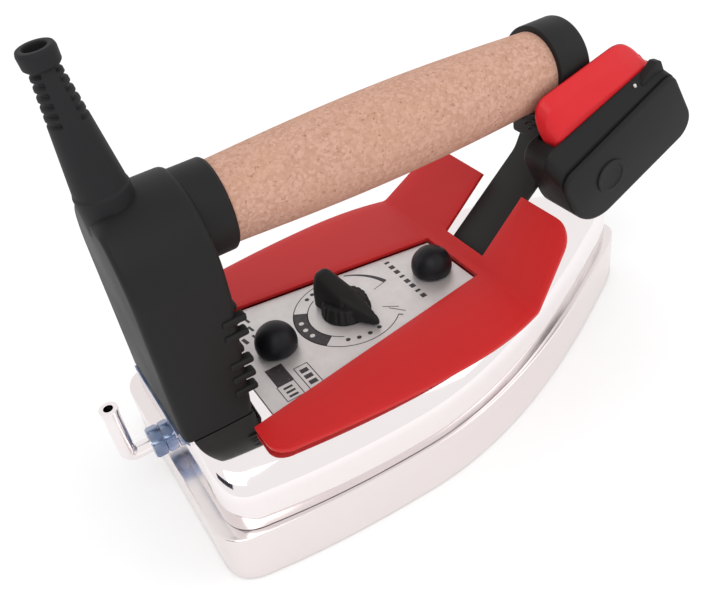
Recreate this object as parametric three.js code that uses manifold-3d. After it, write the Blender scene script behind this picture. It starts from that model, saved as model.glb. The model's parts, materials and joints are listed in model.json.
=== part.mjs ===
// Industrial steam iron with a cork grip and a side thumb switch, in millimetres.
// X runs from the heel to the toe, +Z is up, and the thumb switch is on the -Y side.
// Inside the model x is counted from the heel; the last group moves the origin to the
// middle of the ironing face.
import * as THREE from 'three';
import { mergeVertices } from 'three/addons/utils/BufferGeometryUtils.js';
import Module from 'manifold-3d';

const wasm = await Module();
wasm.setup();

// ---------------------------------------------------------------- driving dimensions
const gap = 0.3;                 // clearance between pieces that touch
const clear = 90;                // height that cutters reach to, above the cover and shield

const soleLength = 225;
const soleWidth = 119.4;
const soleHeight = 23;
const soleEdge = 1.5;            // rounding of the sole's edges
const heelCorner = 13;           // plan radius of the two heel corners
const heelDrop = 5;              // how much narrower the sole is at the heel, each side
const widestAt = 80;             // x of the widest point
const toeRun = 21;               // length of the rounded toe
const toeHalf = 17.5;            // half width where the toe starts
const floorThickness = 9;        // sole metal under the steam chamber
const chamberInset = 18;         // wall around the steam chamber
const lidSeatInset = 9;          // wall around the chamber lid
const lidSeatDepth = 5;
const gasketThickness = 0.8;
const lidThickness = 3;
const ventRadius = 1.6;
const ventInset = 24;
const ventStartX = 60;

const coverInset = 1.4;          // step between sole and cover along the sides
const coverHeelInset = 5.4;
const coverToeInset = 6;
const coverTop = 48.6;
const coverWall = 1.4;
const coverWallTop = 35;         // where the cover's upright wall turns into its shoulder
const shoulderRun = 19;          // how far the shoulder leans in along the sides
const shoulderHeelRun = 2.5;
const shoulderToeRun = 17;
const shoulderCorner = 7;        // how much the heel corners tighten up the shoulder

const axisY = -2.5;              // the controls sit a little to the thumb side
const panelRear = 35;
const panelFront = 133.5;
const panelRearHalf = 31;
const panelFrontHalf = 16;
const panelThickness = 0.8;
const windowMargin = 1;          // gap from the panel to the shield's window edge

const shieldGap = 1.2;           // air gap between cover and heat shield
const shieldThickness = 1.5;
const shieldRear = 26.5;
const shieldRearHalf = 52.6;
const shieldWidestAt = 98;
const shieldHalf = 57.6;
const shieldCorner = 8;
const bendX = 137;               // bend line of the deflector
const bendHalf = 51.5;
const deflectorRun = 24;
const deflectorRise = 22.3;
const deflectorTopHalf = 43.5;
const deflectorCorner = 9;
const slotHalf = 12.3;
const slotStart = 5;             // from the bend line to the slot's closed end

const studXs = [51.9, 123.5];
const studY = -3.8;
const studRadius = 2.9;
const pillarRadius = 7;
const ballRadius = 8.2;
const ballCentre = 3;            // above the knob's seat
const ballFoot = 7.2;

const dialX = 83.7;
const dialY = -1.8;
const shaftRadius = 3;
const pointerAngle = -75;        // where the pointer stands, degrees from +X
const pointerReach = 17.5;
const pointerTail = 14;
const pointerHalf = 6.4;
const pointerFall = 0.378;       // slope of the pointer's ridge, radians
const knobHeight = 16;
const knobMiddle = 10.4;         // height of the ridge over the shaft
const knobSkirt = 10;
const shaftReach = 5.5;          // how far the shaft stands into the knob

const housingRear = 4.4;
const housingHalf = 26.6;
const housingWall = 2.4;
const housingFootX = 30.5;       // front face at the cover
const housingFrontX = 34.8;      // front face under the collar
const housingNeckZ = 97;
const housingTop = 132.6;
const housingShoulderZ = 106;    // where the flat sides start to round over

const gripZ = 115.9;             // axis of the handle
const gripEndRadius = 14.5;
const gripSwell = 2.2;           // how much thicker the grip is in the middle
const gripStart = 46;            // visible cork
const gripEnd = 179.5;
const socketDepth = 4.5;         // cork hidden in the housing's collar
const capSocket = 1.6;           // cork hidden in the cap
const rodRadius = 4;
const collarRadius = 17.2;
const capRadius = 16.7;
const capLength = 14.5;

const bracketThickness = 2.5;
const bracketHalf = 10.5;
const bracketFootX = 112;
const bracketRiseX = 141.2;
const bracketKneeX = 177;
const bracketKneeZ = 80.3;

const guardX = 12.4;
const guardLean = 4;             // degrees towards the heel
const guardLength = 46;
const guardBaseRadius = 8.6;
const guardTipRadius = 4.9;
const guardNeckRadius = 5.3;     // the part that passes through the housing's roof
const cordRadius = 4;

const pipeRadius = 3;
const pipeBore = 1.8;
const pipeZ = 32;
const pipeElbowX = -12.4;
const pipeTopZ = 56.6;
const elbowEndX = 16;            // where the elbow meets the feed pipe
const pipeSides = 14;

const switchX = 165.7;           // rear top corner of the switch box's outer face
const switchZ = 89.8;
const switchPitch = 25;          // degrees, nose up
const switchLength = 58;
const switchHeight = 30.6;
const switchOuterY = -36.5;
const switchInnerY = -15.6;
const switchRise = 5;            // the roof is this much higher beside the button
const switchWall = 1.8;
const switchRoofY = -28.2;       // where the sloping roof meets the button slot
const buttonY = [-27.6, -18.2];
const buttonFront = switchLength - 3.6;
const buttonPivot = [switchLength - 8, 2];
const pinEnd = -29.6;            // blind end of the button's pin
const plungerU = 32;

// ---------------------------------------------------------------- materials
const finish = (color, roughness, metalness = 0) =>
  new THREE.MeshStandardMaterial({ color, roughness, metalness });
const polishedAluminium = finish(0xd9d6d6, 0.25, 1);
const castAluminium = finish(0xb4b6b8, 0.5, 1);
const chrome = finish(0xeeeeee, 0.06, 1);
const redPaint = finish(0xc83a3c, 0.4);
const brushedSteel = finish(0xcfcac8, 0.35, 0.8);
const zincSteel = finish(0x9fb0c4, 0.35, 1);
const copper = finish(0xb87348, 0.35, 1);
const cork = finish(0xcda082, 0.85);
const blackPlastic = finish(0x2b2b2d, 0.5);
const blackPaint = finish(0x2a2a2b, 0.45, 0.3);
const rubber = finish(0x28282a, 0.7);
const redPlastic = finish(0xe1373c, 0.3);
const ceramic = finish(0xe8e2d6, 0.6);
const sealRubber = finish(0x8c3a2c, 0.8);
const leadSleeve = finish(0xd8d2c0, 0.8);

// ---------------------------------------------------------------- solids
function toSolid(geometry) {
  const bare = geometry.clone();
  bare.deleteAttribute('normal');
  bare.deleteAttribute('uv');
  const merged = mergeVertices(bare, 1e-4);
  return new wasm.Manifold(new wasm.Mesh({
    numProp: 3,
    vertProperties: new Float32Array(merged.attributes.position.array),
    triVerts: new Uint32Array(merged.index.array),
  }));
}

function toGeometry(solid) {
  const mesh = solid.getMesh();
  const geometry = new THREE.BufferGeometry();
  geometry.setAttribute('position', new THREE.BufferAttribute(mesh.vertProperties, 3));
  geometry.setIndex(new THREE.BufferAttribute(mesh.triVerts, 1));
  return geometry;
}

function cut(geometry, ...tools) {
  const solid = tools.reduce((left, tool) => left.subtract(toSolid(tool)), toSolid(geometry));
  return toGeometry(solid);
}

function join(geometry, ...others) {
  return toGeometry(others.reduce((sum, other) => sum.add(toSolid(other)), toSolid(geometry)));
}

function common(geometry, other) {
  return toGeometry(toSolid(geometry).intersect(toSolid(other)));
}

const box = (x0, x1, y0, y1, z0, z1) => new THREE.BoxGeometry(x1 - x0, y1 - y0, z1 - z0)
  .translate((x0 + x1) / 2, (y0 + y1) / 2, (z0 + z1) / 2);

const sidesFor = (radius) => Math.min(32, Math.round(7 + radius * 1.5));

const upright = (radius, z0, z1, x, y, sides = sidesFor(radius), topRadius = radius) =>
  new THREE.CylinderGeometry(topRadius, radius, z1 - z0, sides)
    .rotateX(Math.PI / 2).translate(x, y, (z0 + z1) / 2);

const alongX = (radius, x0, x1, y, z, sides = sidesFor(radius)) =>
  new THREE.CylinderGeometry(radius, radius, x1 - x0, sides)
    .rotateZ(-Math.PI / 2).translate((x0 + x1) / 2, y, z);

const alongY = (radius, y0, y1, x, z, sides = sidesFor(radius)) =>
  new THREE.CylinderGeometry(radius, radius, y1 - y0, sides).translate(x, (y0 + y1) / 2, z);

// A plate standing on its plan outline, with its edges rounded by `edge`.
function plate(outline, z0, z1, edge = 0, steps = 3) {
  return new THREE.ExtrudeGeometry(outline, {
    depth: z1 - z0 - 2 * edge, bevelEnabled: edge > 0, bevelThickness: edge,
    bevelSize: edge, bevelOffset: -edge, bevelSegments: steps, curveSegments: 8,
  }).translate(0, 0, z0 + edge);
}

// A body skinned over clockwise plan outlines [outline, z] of the same number of points each.
function stacked(levels) {
  const rings = levels.map(([outline, z]) => outline.getPoints().reverse().map((p) => [p.x, p.y, z]));
  const count = rings[0].length;
  const faces = [];
  for (let row = 0; row < rings.length - 1; row += 1) {
    for (let i = 0; i < count; i += 1) {
      const a = row * count + i;
      const b = row * count + ((i + 1) % count);
      faces.push(a, b, b + count, a, b + count, a + count);
    }
  }
  const top = (rings.length - 1) * count;
  const flat = (ring) => ring.map(([x, y]) => new THREE.Vector2(x, y));
  const capOf = (ring) => THREE.ShapeUtils.triangulateShape(flat(ring), []);
  capOf(rings[0]).forEach(([a, b, c]) => faces.push(c, b, a));
  capOf(rings.at(-1)).forEach(([a, b, c]) => faces.push(top + a, top + b, top + c));
  const geometry = new THREE.BufferGeometry();
  geometry.setAttribute('position', new THREE.Float32BufferAttribute(rings.flat(2), 3));
  geometry.setIndex(faces);
  return geometry;
}

// A side profile drawn in X and Z, given thickness from y0 to y1.
function sidePlate(profile, y0, y1, edge = 0, steps = 2) {
  return new THREE.ExtrudeGeometry(profile, {
    depth: y1 - y0 - 2 * edge, bevelEnabled: edge > 0, bevelThickness: edge,
    bevelSize: edge, bevelOffset: -edge, bevelSegments: steps, curveSegments: 5,
  }).rotateX(Math.PI / 2).translate(0, y1 - edge, 0);
}

const polygon = (points) => new THREE.Shape(points.map(([a, b]) => new THREE.Vector2(a, b)));

// A lathe about +Z whose profile [radius, z] starts and ends on the axis or closes on itself.
const turned = (profile, sides) => new THREE.LatheGeometry(
  profile.map(([r, z]) => new THREE.Vector2(r, z)), sides).rotateX(Math.PI / 2);

// A bent strip: a polyline in X and Z, thickened downwards, from y0 to y1.
function bentStrip(points, thickness, y0, y1) {
  const under = points.map(([x, z], i) => {
    const [ax, az] = points[Math.max(i - 1, 0)];
    const [bx, bz] = points[Math.min(i + 1, points.length - 1)];
    const into = i > 0 ? Math.atan2(z - az, x - ax) : Math.atan2(bz - z, bx - x);
    const out = i < points.length - 1 ? Math.atan2(bz - z, bx - x) : into;
    const mean = (into + out) / 2;
    const reach = thickness / Math.cos((out - into) / 2);
    return [x + Math.sin(mean) * reach, z - Math.cos(mean) * reach];
  });
  return sidePlate(polygon([...points, ...under.reverse()]), y0, y1);
}

// A round rod along a smooth curve through the given points.
function bentRod(points, radius, sides, steps, tension = 0.5) {
  const section = new THREE.Shape();
  for (let i = 0; i < sides; i += 1) {
    const angle = (i / sides) * 2 * Math.PI;
    const x = radius * Math.cos(angle);
    const y = radius * Math.sin(angle);
    if (i) section.lineTo(x, y);
    else section.moveTo(x, y);
  }
  const path = new THREE.CatmullRomCurve3(
    points.map((p) => new THREE.Vector3(...p)), false, 'catmullrom', tension);
  return new THREE.ExtrudeGeometry(section, { steps, bevelEnabled: false, extrudePath: path });
}

function hexNut(across, z0, z1, bore) {
  return cut(upright(across / Math.sqrt(3), z0, z1, 0, 0, 6), upright(bore, z0 - 1, z1 + 1, 0, 0, 20));
}

function named(name, geometry, material) {
  const mesh = new THREE.Mesh(geometry, material);
  mesh.name = name;
  return mesh;
}

// ---------------------------------------------------------------- outlines
// One side of the boat-shaped plan from the heel's middle to the toe's tip.
function boatSide(side, heel = side, toe = side, corner = heelCorner) {
  const half = soleWidth / 2 - side;
  const heelHalf = half - heelDrop;
  const tip = soleLength - toe;
  const toeX = soleLength - toeRun - toe * 0.6;
  const toeY = Math.max(toeHalf - side * 0.55, 5);
  const run = toeX - widestAt;
  const path = new THREE.Path();
  path.moveTo(heel, 0);
  path.lineTo(heel, heelHalf - corner - 1);
  path.quadraticCurveTo(heel, heelHalf - 1.4, heel + corner, heelHalf);
  path.bezierCurveTo(heel + corner + 22, heelHalf + heelDrop * 0.8, widestAt - 20, half,
    widestAt, half);
  path.bezierCurveTo(widestAt + run * 0.3, half, toeX - run * 0.36, toeY + run * 0.2, toeX, toeY);
  path.bezierCurveTo(toeX + toeRun * 0.45, toeY * 0.7, tip, toeY * 0.4, tip, 0);
  return path.getPoints(6);
}

function boat(side, heel, toe, corner) {
  const near = boatSide(side, heel, toe, corner);
  const far = near.slice(1, -1).reverse().map((p) => new THREE.Vector2(p.x, -p.y));
  return new THREE.Shape([...near, ...far]);
}

// Half width of that plan at a given x.
function halfWidthAt(x, side) {
  const points = boatSide(side);
  const i = points.findIndex((p, k) => k > 8 && p.x >= x);
  const a = points[i - 1];
  const b = points[i];
  return a.y + ((b.y - a.y) * (x - a.x)) / (b.x - a.x);
}

// ---------------------------------------------------------------- sole, chamber and heater
const lidSeatZ = soleHeight - lidSeatDepth;
const gasketZ = lidSeatZ + gap;
const lidZ = gasketZ + gasketThickness + gap;
const lidTop = lidZ + lidThickness;
const coverBase = soleHeight + gap;
const coverCeiling = coverTop - coverWall;
const panelZ = coverTop + gap;
const panelTop = panelZ + panelThickness;
const shieldZ = coverTop + shieldGap;
const shieldTop = shieldZ + shieldThickness;

const lidScrewSpots = [34, 100, 156].flatMap((x) => {
  const y = halfWidthAt(x, (lidSeatInset + chamberInset) / 2);
  return [[x, y], [x, -y]];
});
const lidScrewRadius = 1.7;
const heaterSide = 14;           // half spacing of the heater's terminals
const heaterHeel = 23;
const heaterRadius = 3.5;
const feedX = 36;                // where the steam feed drops into the lid

function soleplate() {
  const vents = boatSide(ventInset).filter((p) => p.x > ventStartX);
  const spots = vents.flatMap((p) => (p.y < 4 ? [[p.x, 0]] : [[p.x, p.y], [p.x, -p.y]]));
  const middle = [150, 164, 178].map((x) => [x, 0]);
  const chamber = plate(boat(chamberInset), floorThickness, soleHeight + 1);
  const hollow = cut(chamber, ...studXs.map((x) => upright(pillarRadius, 0, lidSeatZ, x, studY)));
  return cut(
    plate(boat(0), 0, soleHeight, soleEdge, 1),
    hollow,
    plate(boat(lidSeatInset), lidSeatZ, soleHeight + 1),
    ...studXs.map((x) => upright(studRadius + gap, lidSeatZ - 6.5, soleHeight, x, studY)),
    ...lidScrewSpots.map(([x, y]) => upright(lidScrewRadius + gap, lidSeatZ - 6.5, soleHeight, x, y, 12)),
    ...[...spots, ...middle].map(([x, y]) => upright(ventRadius, -1, floorThickness + 1, x, y, 8)),
  );
}

const lidHoles = () => [
  ...studXs.map((x) => upright(studRadius + gap, 0, clear, x, studY)),
  ...lidScrewSpots.map(([x, y]) => upright(lidScrewRadius + gap, 0, clear, x, y, 12)),
];

function chamberGasket() {
  const ring = cut(plate(boat(lidSeatInset + gap), gasketZ, gasketZ + gasketThickness),
    plate(boat(chamberInset), 0, clear));
  return cut(ring, ...lidScrewSpots.map(([x, y]) => upright(lidScrewRadius + gap, 0, clear, x, y, 12)));
}

function chamberLid() {
  return cut(
    plate(boat(lidSeatInset + gap), lidZ, lidTop),
    ...lidHoles(),
    ...[1, -1].map((s) => upright(heaterRadius + 2 * gap, 0, clear, heaterHeel, s * heaterSide)),
    upright(pipeRadius + gap, 0, clear, feedX, 0),
  );
}

function heatingElement() {
  const z = floorThickness + heaterRadius + 1;
  const arm = [
    [heaterHeel, heaterSide, 55], [heaterHeel, heaterSide, 34], [heaterHeel, heaterSide, z + 6],
    [heaterHeel + 4, heaterSide + 2, z], [44, 25, z], [80, 28, z], [118, 24, z], [148, 13, z],
  ];
  const back = arm.slice().reverse().map(([x, y, h]) => [x, -y, h]);
  return bentRod([...arm, [157, 0, z], ...back], heaterRadius, 8, 44);
}

const lidScrews = lidScrewSpots.map(([x, y], i) => named(`lid_screw_${i + 1}`, join(
  upright(lidScrewRadius, lidSeatZ - 6, lidTop + 1, x, y, 12),
  upright(3.4, lidTop + gap, lidTop + 2.5, x, y, 12)), zincSteel));

// ---------------------------------------------------------------- cover, panel and shield

// The cover's body as plans stacked from its foot to its top: the shoulder is a quarter ellipse.
function coverBody(wall, foot) {
  const levels = [[0, foot]];
  for (let i = 0; i <= 6; i += 1) {
    const angle = (Math.PI * i) / 12;
    levels.push([1 - Math.cos(angle), coverWallTop + (coverTop - coverWallTop) * Math.sin(angle) - wall]);
  }
  return stacked(levels.map(([lean, z]) => [boat(
    coverInset + wall + lean * shoulderRun, coverHeelInset + wall + lean * shoulderHeelRun,
    coverToeInset + wall + lean * shoulderToeRun, heelCorner - lean * shoulderCorner), z]));
}

function chromeCover() {
  return cut(
    coverBody(0, coverBase),
    coverBody(coverWall, coverBase - 1),
    ...studXs.map((x) => upright(studRadius + gap, 30, clear, x, studY)),
    upright(shaftRadius + 1, 30, clear, dialX, dialY),
    box(heaterHeel - 6, heaterHeel + 5, -heaterSide - 5, heaterSide + 5, 36, clear),
    box(bracketRiseX - 5, bracketRiseX + 9, axisY - bracketHalf - 1, axisY + bracketHalf + 1, 36, clear),
    alongX(pipeRadius + gap, 0, elbowEndX, 0, pipeZ, pipeSides),
  );
}

const taper = (rear, front, x0, x1, x) => rear + ((front - rear) * (x - x0)) / (x1 - x0);

function labelPanel() {
  const outline = polygon([
    [panelRear, axisY - panelRearHalf], [panelFront, axisY - panelFrontHalf],
    [panelFront, axisY + panelFrontHalf], [panelRear, axisY + panelRearHalf],
  ]);
  return cut(
    plate(outline, panelZ, panelTop),
    ...studXs.map((x) => upright(studRadius + gap, 30, clear, x, studY)),
    upright(shaftRadius + gap, 30, clear, dialX, dialY),
  );
}

function windowHalf(x) {
  return taper(panelRearHalf, panelFrontHalf, panelRear, panelFront, x) + windowMargin;
}

function heatShield() {
  const outline = new THREE.Shape();
  outline.moveTo(bendX + 1, -bendHalf);
  outline.bezierCurveTo(bendX - 12, -shieldHalf + 1.5, shieldWidestAt + 14, -shieldHalf,
    shieldWidestAt, -shieldHalf);
  outline.bezierCurveTo(shieldWidestAt - 25, -shieldHalf, 50, -shieldRearHalf - 2.2,
    shieldRear + shieldCorner, -shieldRearHalf);
  outline.quadraticCurveTo(shieldRear, -shieldRearHalf + 0.3, shieldRear, -shieldRearHalf + shieldCorner);
  outline.lineTo(shieldRear, shieldRearHalf - shieldCorner);
  outline.quadraticCurveTo(shieldRear, shieldRearHalf - 0.3, shieldRear + shieldCorner, shieldRearHalf);
  outline.bezierCurveTo(50, shieldRearHalf + 2.2, shieldWidestAt - 25, shieldHalf,
    shieldWidestAt, shieldHalf);
  outline.bezierCurveTo(shieldWidestAt + 14, shieldHalf, bendX - 12, shieldHalf - 1.5, bendX + 1, bendHalf);
  const flat = plate(outline, shieldZ, shieldTop);

  const reach = Math.hypot(deflectorRun, deflectorRise);
  const flap = new THREE.Shape();
  flap.moveTo(0, -bendHalf);
  flap.lineTo(reach - deflectorCorner, -deflectorTopHalf - 1.5);
  flap.quadraticCurveTo(reach, -deflectorTopHalf, reach, -deflectorTopHalf + deflectorCorner);
  flap.lineTo(reach, deflectorTopHalf - deflectorCorner);
  flap.quadraticCurveTo(reach, deflectorTopHalf, reach - deflectorCorner, deflectorTopHalf + 1.5);
  flap.lineTo(0, bendHalf);
  const slot = plate(polygon([
    [slotStart, axisY - slotHalf], [reach + 5, axisY - slotHalf],
    [reach + 5, axisY + slotHalf], [slotStart, axisY + slotHalf],
  ]), -5, 5);
  const tilt = -Math.atan2(deflectorRise, deflectorRun);
  const deflector = cut(plate(flap, -shieldThickness, 0), slot)
    .rotateY(tilt).translate(bendX, 0, shieldTop);

  const windowRear = shieldRear - 5;
  const windowFront = panelFront + windowMargin;
  const windowCut = plate(polygon([
    [windowRear, axisY - windowHalf(windowRear)], [windowFront, axisY - windowHalf(panelFront)],
    [windowFront, axisY + windowHalf(panelFront)], [windowRear, axisY + windowHalf(windowRear)],
  ]), 0, clear);
  return cut(join(flat, deflector), windowCut);
}

const shieldSpacers = [[64, 34.3], [112, 28]].flatMap(([x, y]) => [[x, y], [x, -y]])
  .map(([x, y], i) => named(`shield_spacer_${i + 1}`,
    upright(3.5, coverTop + gap, shieldZ - gap, x, y, 16), sealRubber));

// ---------------------------------------------------------------- studs and ball knobs
const knobSeatZ = panelTop + gap;
const studTop = knobSeatZ + 7;

function ballKnob(x) {
  const profile = [[0, 0], [ballFoot, 0]];
  const start = -Math.asin((ballCentre - 0.8) / ballRadius);
  for (let i = 0; i <= 6; i += 1) {
    const angle = start + ((Math.PI / 2 - start) * i) / 6;
    profile.push([i === 6 ? 0 : ballRadius * Math.cos(angle), ballCentre + ballRadius * Math.sin(angle)]);
  }
  const ball = turned(profile, 20).translate(x, studY, knobSeatZ);
  return cut(ball, upright(studRadius + gap, knobSeatZ - 1, studTop + gap, x, studY));
}

const studs = studXs.map((x, i) => {
  const end = ['rear', 'front'][i];
  const foot = i ? coverCeiling - gap - bracketThickness : coverCeiling;
  return [
    named(`${end}_stud`, upright(studRadius, lidSeatZ - 6, studTop, x, studY), zincSteel),
    named(`${end}_stud_sleeve`, cut(upright(5, lidTop + gap, foot - gap, x, studY),
      upright(studRadius + gap, 0, clear, x, studY)), zincSteel),
    named(`${end}_ball_knob`, ballKnob(x), blackPlastic),
  ];
}).flat();

// ---------------------------------------------------------------- thermostat
const thermostatZ = lidTop + gap;
const shaftTop = knobSeatZ + shaftReach;

function thermostatBody() {
  return cut(
    join(upright(12, thermostatZ, thermostatZ + 9, dialX, dialY, 28),
      upright(5.5, thermostatZ + 8, thermostatZ + 15, dialX, dialY),
      box(dialX - 4, dialX + 4, dialY - 18, dialY + 18, thermostatZ, thermostatZ + 1.6)),
    upright(shaftRadius + gap, thermostatZ + 3, thermostatZ + 30, dialX, dialY),
  );
}

function thermostatKnob() {
  const bar = new THREE.Shape();
  bar.moveTo(pointerReach, 0);
  bar.lineTo(pointerReach - 1.2, 1.3);
  bar.lineTo(2, pointerHalf);
  bar.lineTo(-pointerTail + 3, pointerHalf);
  bar.quadraticCurveTo(-pointerTail, pointerHalf - 0.6, -pointerTail, 0);
  bar.quadraticCurveTo(-pointerTail, 0.6 - pointerHalf, -pointerTail + 3, -pointerHalf);
  bar.lineTo(2, -pointerHalf);
  bar.lineTo(pointerReach - 1.2, -1.3);
  const raised = cut(plate(bar, 1.2, knobHeight, 0.8, 2),
    box(-40, 40, -20, 20, 0, 15).rotateY(pointerFall).translate(0, 0, knobMiddle));
  return cut(
    join(upright(knobSkirt, 0, 5.5, 0, 0, 28, knobSkirt - 1.6), raised),
    upright(shaftRadius + gap, -1, shaftReach + gap, 0, 0),
  ).rotateZ(THREE.MathUtils.degToRad(pointerAngle)).translate(dialX, dialY, knobSeatZ);
}

// ---------------------------------------------------------------- rear housing
const housingBase = panelZ;

function housingProfile(inset) {
  return polygon([
    [housingRear + inset, housingBase - (inset ? 5 : 0)],
    [housingFootX - inset, housingBase - (inset ? 5 : 0)],
    [housingFrontX - inset, housingNeckZ],
    [housingFrontX - inset, housingTop - inset],
    [housingRear + inset + 5, housingTop - inset],
    [housingRear + inset, housingTop - inset - 5],
  ]);
}

// The housing's section across the iron: flat sides under a round roof.
function housingSection(inset) {
  const half = housingHalf - inset;
  const rise = housingTop - inset - housingShoulderZ;
  const section = new THREE.Shape();
  section.moveTo(-half, 30);
  section.lineTo(half, 30);
  for (let i = 0; i <= 16; i += 1) {
    const angle = (Math.PI * i) / 16;
    section.lineTo(half * Math.cos(angle), housingShoulderZ + rise * Math.sin(angle));
  }
  return new THREE.ExtrudeGeometry(section, { depth: 80, bevelEnabled: false })
    .rotateX(Math.PI / 2).rotateZ(Math.PI / 2).translate(-10, 0, 0);
}

const windowBottom = coverTop + 5.4;
const windowTop = 95;
const windowHalfY = 20;
const ribCount = 7;
const ribHalfY = 24.2;           // the ribs run on past the window, clear of the shell
const ribDepth = 2.6;
const rodNutX = 19.2;

function housingSolid(inset, edge = 0) {
  return common(sidePlate(housingProfile(inset), -housingHalf + inset, housingHalf - inset, edge),
    housingSection(inset));
}

function rearHousing() {
  const shell = housingSolid(0, 2.5);
  const hollow = housingSolid(housingWall);
  const collar = alongX(collarRadius, housingFrontX - 8, gripStart, 0, gripZ, 36);
  return cut(
    join(cut(shell, hollow), collar),
    alongX(gripEndRadius + gap, gripStart - socketDepth - gap, gripStart + 5, 0, gripZ, 36),
    alongX(rodRadius + gap, housingFrontX - 12, gripStart + 5, 0, gripZ),
    box(housingFootX - 8, housingFrontX + 8, -windowHalfY, windowHalfY, windowBottom, windowTop),
    upright(guardNeckRadius + gap, 118, 140, guardX, 0),
    box(0, housingRear + housingWall + 2, -23.4, 23.4, 40, housingBase + 2.5),
  );
}

// The front cover closes the housing towards the handle and carries cooling ribs.
function housingFrontCover() {
  const lean = Math.atan2(housingFrontX - housingFootX, housingNeckZ - housingBase);
  const height = (windowTop - windowBottom - 1) / Math.cos(lean);
  const panel = box(-housingWall, 0, -windowHalfY + gap, windowHalfY - gap, 0, height);
  const ribs = Array.from({ length: ribCount }, (_, i) => {
    const z = 2.5 + (i * (height - 5)) / (ribCount - 1);
    return join(box(-0.5, ribDepth, -windowHalfY + gap, windowHalfY - gap, z - 1.5, z + 1.5),
      box(gap, ribDepth, -ribHalfY, ribHalfY, z - 1.5, z + 1.5));
  });
  const foot = housingFootX + (windowBottom + 0.5 - housingBase) * Math.tan(lean);
  return join(panel, ...ribs).rotateY(lean).translate(foot, 0, windowBottom + 0.5);
}

// ---------------------------------------------------------------- handle
const rodStart = rodNutX - 2.8;
const rodEnd = gripEnd + capLength - 4;
const tabBack = gripEnd + capSocket + 2 * gap;     // rear face of the bracket's upright tab
const tabFront = tabBack + bracketThickness;

function housingBracket() {
  return cut(
    join(box(housingRear - 0.8, 27, -22, 22, housingBase + 0.1, housingBase + 2.2),
      box(rodNutX + 4, rodNutX + 6.5, -13, 13, housingBase + 0.1, gripZ + 9)),
    alongX(rodRadius + gap, 0, 40, 0, gripZ),
    box(heaterHeel - 6, heaterHeel + 5, -heaterSide - 5, -8, 40, 62),
    box(heaterHeel - 6, heaterHeel + 5, 8, heaterSide + 5, 40, 62),
  );
}

function corkGrip() {
  const start = gripStart - socketDepth;
  const end = gripEnd + capSocket;
  const profile = [[rodRadius + 0.6, start], [gripEndRadius, start], [gripEndRadius, gripStart]];
  for (let i = 1; i < 8; i += 1) {
    const swell = gripSwell * Math.sin((Math.PI * i) / 8);
    profile.push([gripEndRadius + swell, gripStart + ((gripEnd - gripStart) * i) / 8]);
  }
  profile.push([gripEndRadius, gripEnd], [gripEndRadius, end], [rodRadius + 0.6, end],
    [rodRadius + 0.6, start]);
  return turned(profile, 24).rotateY(Math.PI / 2).translate(0, 0, gripZ);
}

function frontCap() {
  const front = gripEnd + capLength;
  const round = turned([[0, 0], [capRadius, 0], [capRadius, capLength - 1.6],
    [capRadius - 0.5, capLength - 0.5], [capRadius - 1.6, capLength], [0, capLength]], 36)
    .rotateY(Math.PI / 2).translate(gripEnd, 0, gripZ);
  const lug = sidePlate(polygon([[gripEnd - 4, 92], [gripEnd, 88.5], [front - 2, 88.5],
    [front - 1, 92], [front - 1, 108], [gripEnd - 4, 108]]), switchInnerY + gap, 8);
  return cut(
    join(round, lug),
    alongX(gripEndRadius + gap, gripEnd - 30, gripEnd + capSocket + gap, 0, gripZ, 36),
    alongX(rodRadius + gap, gripEnd - 5, rodEnd + gap, 0, gripZ),
    box(gripEnd - 10, tabFront + gap, axisY - bracketHalf - gap, axisY + bracketHalf + gap, 80, 95),
    box(tabBack - gap, tabFront + gap, axisY - bracketHalf - gap, axisY + bracketHalf + gap, 80, gripZ + 9),
    ...switchScrewSpots.map(([x, z]) => alongY(1.6 + gap, switchInnerY - 5, -7, x, z, 12)),
  );
}

// The front bracket: a foot under the cover, clamped by the front stud, and a strip that
// rises through the deflector's slot to an upright tab in the cap.
function frontBracket() {
  const top = coverCeiling - gap;
  const strip = bentStrip([[bracketFootX, top], [bracketRiseX - 4, top], [bracketKneeX, bracketKneeZ],
    [tabBack, bracketKneeZ + 10], [tabBack, gripZ + 8.4]], bracketThickness,
  axisY - bracketHalf, axisY + bracketHalf);
  return cut(strip, upright(studRadius + gap, 30, clear, studXs[1], studY),
    alongX(rodRadius + gap, bracketKneeX, 200, 0, gripZ));
}

// ---------------------------------------------------------------- cord entry
function cordGuard() {
  const rise = guardLength + 3;
  const foot = guardBaseRadius + 0.9;
  const outside = turned([
    [0, -8], [foot, -8], [foot, 3.4], [guardBaseRadius, 4.2],
    [guardTipRadius - 0.3, rise - 6], [guardTipRadius + 0.7, rise - 5], [guardTipRadius + 0.9, rise - 1],
    [guardTipRadius + 0.3, rise], [0, rise],
  ], 24).rotateY(THREE.MathUtils.degToRad(-guardLean)).translate(guardX, 0, housingTop);
  const seated = cut(outside, housingSolid(-gap));
  const neck = upright(guardNeckRadius, housingTop - 9, housingTop + 3, guardX, 0);
  const bore = upright(cordRadius, -30, rise + 10, 0, 0, 20)
    .rotateY(THREE.MathUtils.degToRad(-guardLean)).translate(guardX, 0, housingTop);
  return cut(join(seated, neck), bore);
}

function cordClamp() {
  return cut(box(guardX - 5, guardX + 5, -9, 9, 99, 105),
    upright(cordRadius, 90, 120, guardX, 0),
    ...[6.8, -6.8].map((y) => upright(1.4, 90, 120, guardX, y, 12)));
}

const terminalBlock = () => cut(box(7.8, 17.8, -17, 17, 66, 80),
  ...[-11, 0, 11].map((y) => upright(2.2, 60, 90, 12.8, y, 12)));

const heaterLeads = [1, -1].map((s) => named(s > 0 ? 'heater_lead_far' : 'heater_lead_near',
  bentRod([[heaterHeel, s * heaterSide, 55.6], [heaterHeel - 1, s * heaterSide, 60],
    [14.5, s * 11.6, 63.6], [12.8, s * 11, 68], [12.8, s * 11, 74]], 1.6, 8, 20), leadSleeve));

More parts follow.
